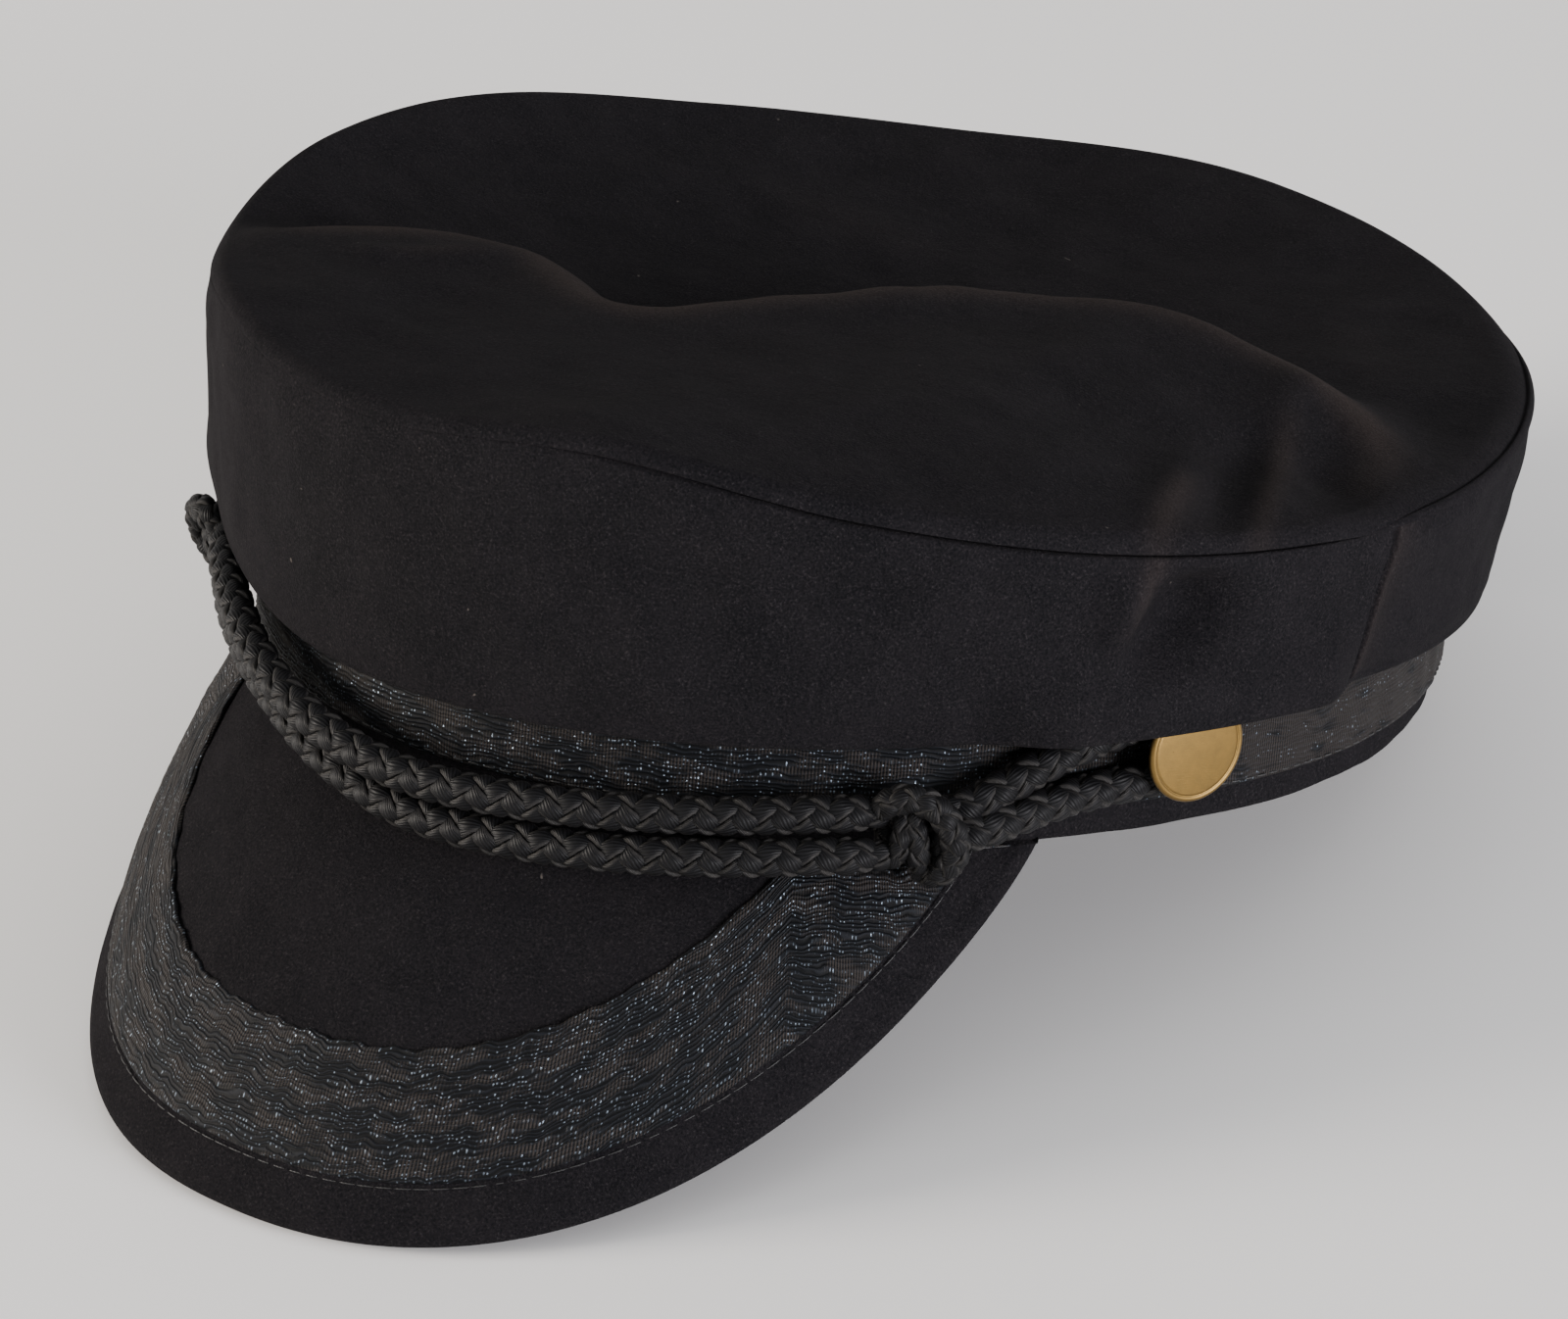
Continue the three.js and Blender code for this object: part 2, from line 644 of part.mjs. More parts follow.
// Stands a shape, drawn with +Z outward and +X along the band, on the band's outline
function standOnBand(mesh, azimuth, standOff, height, lean = 0) {
  const { along, out } = outlineAxes(azimuth);
  const up = new THREE.Vector3(0, 0, 1);
  mesh.quaternion.setFromRotationMatrix(new THREE.Matrix4().makeBasis(along, up, out));
  mesh.rotateX(lean);
  mesh.position.copy(around(azimuth, standOff, height));
  return mesh;
}

function buttonBody() {
  const radius = buttonDiameter / 2;
  const shank = shankDiameter / 2;
  const length = buttonBack - ribbonFace - clearance;
  const edge = 0.3 * buttonThickness;
  const profile = [
    [0, -length], [shank, -length], [shank, 0], [radius - edge, 0], [radius, edge],
    [radius, buttonThickness - edge], [radius - edge, buttonThickness],
    [radius - 2.4 * edge, buttonThickness], [radius - 3 * edge, 0.86 * buttonThickness],
    [0, 0.86 * buttonThickness],
  ];
  const body = new THREE.LatheGeometry(profile.map(([x, y]) => new THREE.Vector2(x, y)), 20);
  body.rotateX(Math.PI / 2);
  return body;
}

// Finishes
const wool = { color: 0x1d1b1c, roughness: 0.95, metalness: 0 };
const ribbonCloth = { color: 0x15171b, roughness: 0.55, metalness: 0 };
const cordYarn = { color: 0x131314, roughness: 0.5, metalness: 0 };
const brass = { color: 0xb2924f, roughness: 0.45, metalness: 1 };

function piece(name, geometry, finish) {
  const mesh = new THREE.Mesh(geometry, new THREE.MeshStandardMaterial(finish));
  mesh.name = name;
  return mesh;
}

const cap = new THREE.Group();
cap.add(piece('headband', sweptRing(bandSection), wool));
cap.add(piece('band_ribbon', sweptRing(ribbonSection), ribbonCloth));
cap.add(piece('crown_side', sweptRing(crownSideSection), wool));
cap.add(piece('crown_top', crownTop(), wool));
cap.add(piece('peak', peak(), wool));
cap.add(piece('peak_ribbon', peakRibbon(), ribbonCloth));
cap.add(piece('cord_upper', frontStrand(1), cordYarn));
cap.add(piece('cord_lower', frontStrand(-1), cordYarn));
for (const [word, hand] of [['left', 1], ['right', -1]]) {
  cap.add(piece(`cord_loop_${word}`, sideLoop(hand), cordYarn));
  const knot = piece(`knot_${word}`, knotBody().rotateZ(Math.PI / 2), cordYarn);
  const place = knotPlace(hand);
  cap.add(standOnBand(knot, hand * knotAzimuth, place.out, place.height, place.lean));
  const button = piece(`button_${word}`, buttonBody(), brass);
  cap.add(standOnBand(button, hand * buttonAzimuth, buttonBack, buttonHeight));
}

// The cap at rest on a table: it leans back on the rear of its band and the tip of its peak
function restAngle() {
  const rear = around(180, 0, 0);
  const spot = new THREE.Vector3();
  const corners = cap.getObjectByName('peak').geometry.attributes.position;
  let angle = 0;
  for (let i = 0; i < corners.count; i += 1) {
    spot.fromBufferAttribute(corners, i);
    angle = Math.max(angle, Math.atan2(-spot.z, rear.y - spot.y));
  }
  return angle;
}

cap.rotation.x = -restAngle();
cap.updateMatrixWorld(true);
const reachBox = new THREE.Box3().setFromObject(cap, true);
cap.position.set(
  -(reachBox.min.x + reachBox.max.x) / 2,
  -(reachBox.min.y + reachBox.max.y) / 2,
  -reachBox.min.z,
);

const model = new THREE.Group();
model.add(cap);
export default model;
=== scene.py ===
"""Looks of a breton fisherman cap in black melton wool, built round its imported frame.

Shapes are drawn in the cap's own frame, in millimetres: +Y is the back of the head, +X the
wearer's left and Z the height above the lower edge of the band. RestPose carries them to the
row frame, where the cap leans on the rear of its band and the tip of its peak.
"""

import json
import logging
import math
from collections.abc import Callable
from dataclasses import dataclass, field
from enum import Enum
from functools import partial
from typing import Any

import bpy
import numpy as np
from mathutils import Matrix


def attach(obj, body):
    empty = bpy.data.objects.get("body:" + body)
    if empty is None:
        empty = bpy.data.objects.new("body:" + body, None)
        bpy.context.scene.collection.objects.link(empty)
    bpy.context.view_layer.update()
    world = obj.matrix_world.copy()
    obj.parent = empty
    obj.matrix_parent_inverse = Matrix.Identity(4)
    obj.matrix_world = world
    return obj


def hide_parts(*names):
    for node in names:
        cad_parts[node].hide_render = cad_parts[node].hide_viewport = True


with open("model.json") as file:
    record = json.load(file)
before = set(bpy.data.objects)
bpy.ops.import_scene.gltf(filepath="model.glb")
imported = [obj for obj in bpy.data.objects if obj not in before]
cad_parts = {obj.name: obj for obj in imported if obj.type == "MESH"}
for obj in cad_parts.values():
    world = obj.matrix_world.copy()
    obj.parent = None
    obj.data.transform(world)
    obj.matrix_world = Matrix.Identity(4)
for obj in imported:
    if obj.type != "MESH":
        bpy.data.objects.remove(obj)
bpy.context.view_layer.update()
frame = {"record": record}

log = logging.getLogger("cap")
Array = np.ndarray
Sockets = dict[int | str, Any]
AddNode = Callable[..., bpy.types.Node]
UP = np.array([0.0, 0.0, 1.0])


class Side(Enum):
    """The wearer's left or right, as the sign of X."""

    LEFT = 1
    RIGHT = -1


class Strand(Enum):
    """The upper or the lower one of the pair of cords."""

    UPPER = 1
    LOWER = -1


def smooth(start: float, end: float, value: Array) -> Array:
    """Cubic step that is 0 at start and 1 at end, t*t*(3 - 2t), also where end is the lower."""
    t = np.clip((np.asarray(value, float) - start) / (end - start), 0.0, 1.0)
    return t * t * (3.0 - 2.0 * t)


def degrees_from(place: float, azimuth: Array) -> Array:
    """Degrees round the head from a place, from -180 to 180."""
    return np.mod(azimuth - place + 180, 360) - 180


def signed_power(value: Array, power: float) -> Array:
    """The power of a number's size, with the number's own sign."""
    return np.sign(value) * np.abs(value) ** power


def rounded(depth: Array, radius: Array | float) -> Array:
    """Height of a quarter-round edge, 0 at depth 0 and 1 from depth radius on."""
    return np.sqrt(1 - np.clip(1 - depth / radius, 0, 1) ** 2)


def lerp(start: Array, end: Array, share: Array) -> Array:
    """A straight mix from start to end."""
    return start + (end - start) * share


def stacked(*parts: Array) -> Array:
    """Coordinates broadcast to one shape and put side by side on a last axis."""
    return np.stack(np.broadcast_arrays(*parts), -1).astype(float)


def unit(vectors: Array) -> Array:
    """Vectors of length one in the same directions."""
    return vectors / np.maximum(np.linalg.norm(vectors, axis=-1, keepdims=True), 1e-9)


def through(places: Array, values: Array, at: Array, period: float = 0.0) -> Array:
    """Cubic curve through rows, each slope taken from the two neighbouring rows.

    Args:
        places: Where the rows stand, rising.
        values: The rows' values.
        at: Where the curve is read.
        period: The length of a ring that the rows go round, or 0 for an open run.

    Returns:
        The curve's value at each place of at.
    """
    xs, ys = np.asarray(places, float), np.asarray(values, float)
    if period:
        xs = np.concatenate([xs[-2:] - period, xs, xs[:2] + period])
        ys = np.concatenate([ys[-2:], ys, ys[:2]])
        at = np.mod(at, period)
    else:
        xs = np.concatenate([xs[:1], xs, xs[-1:]])
        ys = np.concatenate([ys[:1], ys, ys[-1:]])
        at = np.clip(at, xs[0], xs[-1])
    i = np.clip(np.searchsorted(xs, at, side="right"), 2, len(xs) - 2)
    width = xs[i] - xs[i - 1]
    t = (at - xs[i - 1]) / width
    slope1 = (ys[i] - ys[i - 2]) / (xs[i] - xs[i - 2]) * width
    slope2 = (ys[i + 1] - ys[i - 1]) / (xs[i + 1] - xs[i - 1]) * width
    rest = 1.0 - t
    held = rest * rest * (1 + 2 * t) * ys[i - 1] + t * t * (3 - 2 * t) * ys[i]
    return held + rest * rest * t * slope1 - t * t * rest * slope2


def flowing_line(points: Array, count: int) -> Array:
    """Smooth line through points, cut into equal lengths.

    Each piece between two points is a cubic whose knots are spaced by the square root of the
    distance between the points, so that it makes no loop where points lie close.

    Args:
        points: The points to pass through, N x 3.
        count: How many points the line gets.

    Returns:
        The line, count x 3.
    """
    p = np.asarray(points, float)
    p = np.vstack([2 * p[0] - p[1], p, 2 * p[-1] - p[-2]])
    gap = np.sqrt(np.linalg.norm(np.diff(p, axis=0), axis=1))[:, None]
    t = np.linspace(0, len(p) - 3, 40 * len(p))
    i = np.clip(t.astype(int), 0, len(p) - 4)
    w = (t - i)[:, None]
    p0, p1, p2, p3 = p[i], p[i + 1], p[i + 2], p[i + 3]
    g0, g1, g2 = gap[i], gap[i + 1], gap[i + 2]
    m1 = ((p1 - p0) / g0 - (p2 - p0) / (g0 + g1) + (p2 - p1) / g1) * g1
    m2 = ((p2 - p1) / g1 - (p3 - p1) / (g1 + g2) + (p3 - p2) / g2) * g1
    rest = 1 - w
    line = rest**2 * (1 + 2 * w) * p1 + w**2 * (3 - 2 * w) * p2 + rest**2 * w * m1 - w**2 * rest * m2
    return evenly(line, count)


def evenly(line: Array, count: int) -> Array:
    """The same line cut into count points with equal steps of length."""
    run = lengths_along(line)
    return read_at(line, run, np.linspace(0, run[-1], count))


def read_at(line: Array, run: Array, at: Array) -> Array:
    """The line's rows read at lengths along it, where run is the length at each row."""
    return np.stack([np.interp(at, run, line[:, k]) for k in range(3)], -1)


def lengths_along(line: Array) -> Array:
    """Millimetres travelled along a line at each of its points."""
    steps = np.linalg.norm(np.diff(line, axis=0), axis=1)
    return np.concatenate([[0.0], np.cumsum(steps)])


def drift(points: Array, wavelength: float, seed: int, waves: int = 16) -> Array:
    """Gentle irregularity from about -1 to 1: the mean of plane waves in scattered directions.

    Args:
        points: Where it is read, any shape with three coordinates on the last axis.
        wavelength: The middle length of the waves, in millimetres.
        seed: The seed of the directions and phases.
        waves: How many waves are added up.

    Returns:
        One number for each point.
    """
    rng = np.random.default_rng(seed)
    ways = unit(rng.normal(size=(waves, 3)))
    ways = ways * (2 * math.pi / wavelength) * rng.uniform(0.6, 1.5, (waves, 1))
    return np.sin(points @ ways.T + rng.uniform(0, 2 * math.pi, waves)).sum(-1) / math.sqrt(waves)


@dataclass
class Patch:
    """Points in millimetres, triangles, the UV of each corner, also in millimetres, and the share
    of painted highlight, in the brown-grey of rubbed nap, at each point, from 0 to 1."""

    points: Array
    faces: Array
    uv: Array
    rubbed: Array | None = None

    @staticmethod
    def joined(patches: list["Patch"]) -> "Patch":
        """Several patches as one, each keeping its own points.

        Args:
            patches: The patches, none of them with painted highlight shares.

        Returns:
            The one patch.
        """
        starts = np.cumsum([0] + [len(p.points) for p in patches[:-1]])
        return Patch(
            np.concatenate([p.points for p in patches]),
            np.concatenate([p.faces + start for p, start in zip(patches, starts)]),
            np.concatenate([p.uv for p in patches]),
        )

    def closed(self) -> "Patch":
        """The patch with its touching points made one, its empty triangles left out and its
        faces turned outward, by the sign of the volume that they enclose.

        Returns:
            A new patch; this one is left as it is.
        """
        rounded = np.round(self.points, 4)
        _, first, place = np.unique(rounded, axis=0, return_index=True, return_inverse=True)
        points = self.points[first]
        faces = place.reshape(-1)[self.faces]
        a, b, c = faces.T
        full = (a != b) & (b != c) & (a != c)
        faces, uv = faces[full], self.uv[full]
        corners = points[faces]
        volume = np.einsum("ij,ij->i", corners[:, 0], np.cross(corners[:, 1], corners[:, 2])).sum()
        if volume < 0:
            faces, uv = faces[:, ::-1], uv[:, ::-1]
        return Patch(points, faces, uv, None if self.rubbed is None else self.rubbed[first])


def grid_corners(rows: int, columns: int) -> Array:
    """The row and column of each corner of the two triangles of every cell of a grid.

    Args:
        rows: Cells in the first direction.
        columns: Cells in the second direction.

    Returns:
        Whole numbers, 2*rows*columns x 3 corners x (row, column).
    """
    grid = np.meshgrid(np.arange(rows), np.arange(columns), indexing="ij")
    i, j = (part.reshape(-1, 1) for part in grid)
    first = np.stack([np.hstack([i, i + 1, i + 1]), np.hstack([j, j, j + 1])], -1)
    second = np.stack([np.hstack([i, i + 1, i]), np.hstack([j, j + 1, j + 1])], -1)
    return np.concatenate([first, second])


def ring_patch(points: Array, u: Array, v: Array) -> Patch:
    """A closed section swept round a closed ring.

    Args:
        points: N places round the ring x K points of the closed section x 3.
        u: N + 1 UV values round the ring, the last one at the join.
        v: K + 1 UV values round the section.

    Returns:
        The patch, a doughnut with no open side.
    """
    n, k = points.shape[:2]
    cells = grid_corners(n, k)
    faces = (cells[..., 0] % n) * k + cells[..., 1] % k
    uv = np.stack([u[cells[..., 0]], v[cells[..., 1]]], -1)
    return Patch(points.reshape(-1, 3), faces, uv)


def tube_patch(points: Array, u: Array, v: Array) -> Patch:
    """Closed sections swept along open lines, with a fan of triangles over each end.

    Args:
        points: T tubes x N places along x K points round x 3.
        u: T x N UV values along.
        v: K + 1 UV values round.

    Returns:
        One patch that holds all the tubes.
    """
    t, n, k = points.shape[:3]
    cells = grid_corners(n - 1, k)
    faces = cells[..., 0] * k + cells[..., 1] % k
    wide = np.broadcast_to(np.arange(t)[:, None, None] * (n * k), (t, *faces.shape))
    faces = (faces[None] + wide).reshape(-1, 3)
    uv = np.stack([u[:, cells[..., 0]], np.broadcast_to(v[cells[..., 1]], (t, *cells.shape[:2]))], -1)
    centres = points[:, [0, -1]].mean(2)
    around = np.arange(k)
    ends = []
    for end, row in ((0, 0), (1, n - 1)):
        ring = np.arange(t)[:, None] * (n * k) + row * k
        centre = np.broadcast_to(t * n * k + np.arange(t)[:, None] * 2 + end, (t, k))
        pair = [ring + around, ring + (around + 1) % k]
        ends.append(np.stack([centre, *(pair if end else pair[::-1])], -1).reshape(-1, 3))
    caps = np.concatenate(ends)
    all_points = np.concatenate([points.reshape(-1, 3), centres.reshape(-1, 3)])
    all_uv = np.concatenate([uv.reshape(-1, 3, 2), np.zeros((len(caps), 3, 2))])
    return Patch(all_points, np.concatenate([faces, caps]), all_uv)


def sheet_patch(top: Array, bottom: Array, uv: Array) -> Patch:
    """Two grids of points with the same border cells, joined along that border.

    Args:
        top: N x M x 3 points of the upper side.
        bottom: N x M x 3 points of the lower side.
        uv: N x M x 2 UV values, used on both sides.

    Returns:
        The patch, a closed plate.
    """
    n, m = top.shape[:2]
    cells = grid_corners(n - 1, m - 1)
    face = cells[..., 0] * m + cells[..., 1]
    index = np.arange(n * m).reshape(n, m)
    border = np.concatenate([index[:-1, 0], index[-1, :-1], index[:0:-1, -1], index[0, :0:-1]])
    onward = np.roll(border, -1)
    side = np.concatenate([
        np.stack([border, onward, onward + n * m], -1)[:, ::-1],
        np.stack([border, onward + n * m, border + n * m], -1)[:, ::-1],
    ])
    faces = np.concatenate([face, face[:, ::-1] + n * m, side])
    flat = np.concatenate([uv.reshape(-1, 2), uv.reshape(-1, 2)])
    return Patch(np.concatenate([top.reshape(-1, 3), bottom.reshape(-1, 3)]), faces, flat[faces])


@dataclass(frozen=True)
class RestPose:
    """How the cap's own frame lies in the row frame: its lean and where its origin comes."""

    lean: float
    origin: tuple[float, float, float]

    @staticmethod
    def from_record(record: dict[str, Any]) -> "RestPose":
        """The pose that the record's mount in the head opening gives: its axis points down
        through the band, and its place is the middle of the band's lower edge.

        Args:
            record: The part's record.

        Returns:
            The pose.
        """
        mount = next(m for m in record["mounts"] if m["name"] == "head_opening")
        _, back, down = mount["axis"]
        return RestPose(math.atan2(-back, -down), tuple(1000 * x for x in mount["pos_m"]))

    def turned(self, vectors: Array, lean: float | None = None) -> Array:
        """Directions of the cap's frame in the row frame: the front side lifted by lean.

        Args:
            vectors: Directions, with three coordinates on the last axis.
            lean: Radians, or None for the pose's own lean.

        Returns:
            The turned directions, in the same shape.
        """
        angle = self.lean if lean is None else lean
        c, s = math.cos(angle), math.sin(angle)
        x, y, z = vectors[..., 0], vectors[..., 1], vectors[..., 2]
        return np.stack([x, y * c + z * s, -y * s + z * c], -1)

    def placed(self, points: Array) -> Array:
        """Points of the cap's frame in metres of the row frame."""
        return (self.turned(points) + np.array(self.origin)) / 1000.0


POSE = RestPose.from_record(frame["record"])


def make_piece(name: str, patch: Patch, finish: "Finish", slot: str, *nodes: str) -> bpy.types.Object:
    """Turns a patch into a smooth-shaded object that rides on the cap and replaces CAD nodes.

    Args:
        name: The object's name.
        patch: Its points and triangles.
        finish: The finish that it wears.
        slot: The record's material slot; not used.
        nodes: The CAD nodes that it stands for.

    Returns:
        The object, at the origin, with its place in its mesh.
    """
    patch = patch.closed()
    mesh = bpy.data.meshes.new(name)
    points = POSE.placed(patch.points).astype(np.float32)
    count = len(patch.faces)
    mesh.vertices.add(len(points))
    mesh.vertices.foreach_set("co", points.ravel())
    mesh.loops.add(3 * count)
    mesh.loops.foreach_set("vertex_index", patch.faces.astype(np.int32).ravel())
    mesh.polygons.add(count)
    mesh.polygons.foreach_set("loop_start", np.arange(0, 3 * count, 3, dtype=np.int32))
    mesh.uv_layers.new(name="UVMap").data.foreach_set("uv", patch.uv.astype(np.float32).ravel())
    # Share of painted highlight along folds and ridges, read by the wool's shader.
    if patch.rubbed is not None:
        rubbed = mesh.attributes.new("rubbed", "FLOAT", "POINT")
        rubbed.data.foreach_set("value", patch.rubbed.astype(np.float32))
    mesh.materials.append(finish.material())
    mesh.update(calc_edges=True)
    mesh.validate()
    mesh.shade_smooth()
    piece = bpy.data.objects.new(name, mesh)
    bpy.context.scene.collection.objects.link(piece)
    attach(piece, "root")
    if nodes:
        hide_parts(*nodes)
    log.info("%s: %d triangles", name, count)
    return piece


def linear(colour: str) -> tuple[float, float, float, float]:
    """An sRGB hex colour such as #1c1a1b as linear red, green, blue and full alpha.

    Args:
        colour: The hex colour.

    Returns:
        Four shares from 0 to 1.
    """
    share = np.array([int(colour[k:k + 2], 16) for k in (1, 3, 5)]) / 255.0
    value = np.where(share <= 0.04045, share / 12.92, ((share + 0.055) / 1.055) ** 2.4)
    return (*(float(v) for v in value), 1.0)


def connect(tree: bpy.types.NodeTree, node: bpy.types.Node, sockets: Sockets) -> None:
    """Gives a node's inputs their links and their plain values.

    Args:
        tree: The node tree.
        node: The node whose inputs are set.
        sockets: For each input a node, to link its first output, an output, or a value.
    """
    for key, value in sockets.items():
        source = value.outputs[0] if isinstance(value, bpy.types.Node) else value
        if isinstance(source, bpy.types.NodeSocket):
            tree.links.new(source, node.inputs[key])
        else:
            node.inputs[key].default_value = source


def add_node(
    tree: bpy.types.NodeTree, kind: str, sockets: Sockets | None = None, **settings: Any
) -> bpy.types.Node:
    """Adds a shader node with its settings, its values and its links.

    Args:
        tree: The node tree.
        kind: The node's type name after ShaderNode.
        sockets: What its inputs get, as in connect.
        settings: Properties of the node itself.

    Returns:
        The node.
    """
    node = tree.nodes.new(f"ShaderNode{kind}")
    for key, value in settings.items():
        setattr(node, key, value)
    connect(tree, node, sockets or {})
    return node


@dataclass(frozen=True)
class Finish:
    """A finish: its name and the material that it makes once and then shares."""

    name: str

    def material(self) -> bpy.types.Material:
        """The finish's material, made on first use.

        Returns:
            The material, one for each name.
        """
        found = bpy.data.materials.get(self.name)
        if found:
            return found
        made = bpy.data.materials.new(self.name)
        made.use_nodes = True
        tree = made.node_tree
        connect(tree, tree.nodes["Principled BSDF"], self.dress(partial(add_node, tree)))
        return made

    def dress(self, add: AddNode) -> Sockets:
        """Adds the finish's nodes.

        Args:
            add: Adds a node to the finish's tree.

        Returns:
            What the shader's inputs get.
        """
        raise NotImplementedError


@dataclass(frozen=True)
class MeltonWool(Finish):
    """Fulled melton wool: a dense matt felt that hides its weave under a short warm nap."""

    name: str = "melton_wool_felt"
    deep: str = "#0f0f11"
    wear_and_highlight: str = "#1f1d1f"
    fibre: str = "#4f4a47"
    fleck: str = "#3b3839"
    # Brown-grey of the painted highlight along folds, the tone of rubbed nap.
    highlight_tone: str = "#3d3531"
    nap_mm: float = 0.36
    cloud_mm: float = 9.0
    pucker_mm: float = 2.6
    fibre_cells: float = 260.0
    bend_cells: float = 420.0

    def dress(self, add: AddNode) -> Sockets:
        """Clouded near-black colour, scattered pale fibres, a painted highlight along folds, a nap of fine
        lumps in the bump and a soft sheen where the nap is seen side on.

        Args:
            add: Adds a node to the finish's tree.

        Returns:
            What the shader's inputs get.
        """
        place = add("TexCoord").outputs["Object"]
        # Felt lumps are about 0.2 mm; drawn at 0.36 mm so that they show in the render.
        nap_scale, cloud_scale = 1000 / self.nap_mm, 1000 / self.cloud_mm
        nap = add("TexNoise", {"Vector": place, "Scale": nap_scale, "Detail": 4.0, "Roughness": 0.62})
        cloud = add("TexNoise", {"Vector": place, "Scale": cloud_scale, "Detail": 5.0, "Roughness": 0.6})
        mottle = add("Math", {0: cloud, 1: 0.25, 2: nap}, operation="MULTIPLY_ADD")
        share = add("MapRange", {"Value": mottle, "From Min": 0.46, "From Max": 0.80})
        tones = {6: linear(self.deep), 7: linear(self.wear_and_highlight)}
        ground = add("Mix", {0: share, **tones}, data_type="RGBA").outputs[2]
        # Single pale fibres, in one of twenty cells of some 4 mm, each a thin bent streak.
        bent = add("TexNoise", {"Vector": place, "Scale": self.bend_cells, "Detail": 1.0}).outputs["Color"]
        swayed = add("VectorMath", {0: bent, 1: (0.0035, 0.0035, 0.0035)}, operation="MULTIPLY")
        moved = add("VectorMath", {0: place, 1: swayed}, operation="ADD")
        speck = add("TexVoronoi", {"Vector": moved, "Scale": self.fibre_cells}, feature="F1")
        chosen = add("SeparateColor", {0: speck.outputs["Color"]})
        rare = add("Math", {0: chosen, 1: 0.95}, operation="GREATER_THAN")
        close = add("MapRange", {"Value": speck, "From Min": 0.085, "From Max": 0.04})
        pale = add("Math", {0: rare, 1: close}, operation="MULTIPLY")
        # Ends of fibres, as small flecks, and a painted highlight along folds and ridges, in the brown-grey
        # of rubbed nap.
        ends = add("MapRange", {"Value": nap, "From Min": 0.60, "From Max": 0.76, "To Max": 0.6})
        flecked = add("Mix", {0: ends, 6: ground, 7: linear(self.fleck)}, data_type="RGBA").outputs[2]
        rubbed = add("Attribute", attribute_name="rubbed").outputs["Fac"]
        uneven = add("Math", {0: nap, 1: 1.5}, operation="MULTIPLY")
        highlight_share = add("Math", {0: rubbed, 1: uneven}, operation="MULTIPLY", use_clamp=True)
        highlighted = add("Mix", {0: highlight_share, 6: flecked, 7: linear(self.highlight_tone)}, data_type="RGBA").outputs[2]
        coat = add("Mix", {0: pale, 6: highlighted, 7: linear(self.fibre)}, data_type="RGBA").outputs[2]
        coarse = add("TexNoise", {"Vector": place, "Scale": 1000 / self.pucker_mm, "Detail": 3.0})
        height = add("Math", {0: coarse, 1: 1.4, 2: nap}, operation="MULTIPLY_ADD")
        return {
            "Base Color": coat,
            "Normal": add("Bump", {"Height": height, "Strength": 0.55, "Distance": 0.0005}),
            "Roughness": 0.92,
            "IOR": 1.45,
            "Specular IOR Level": 0.04,
            "Sheen Weight": 0.012,
            "Sheen Roughness": 0.4,
            "Sheen Tint": linear("#c4bab4"),
        }


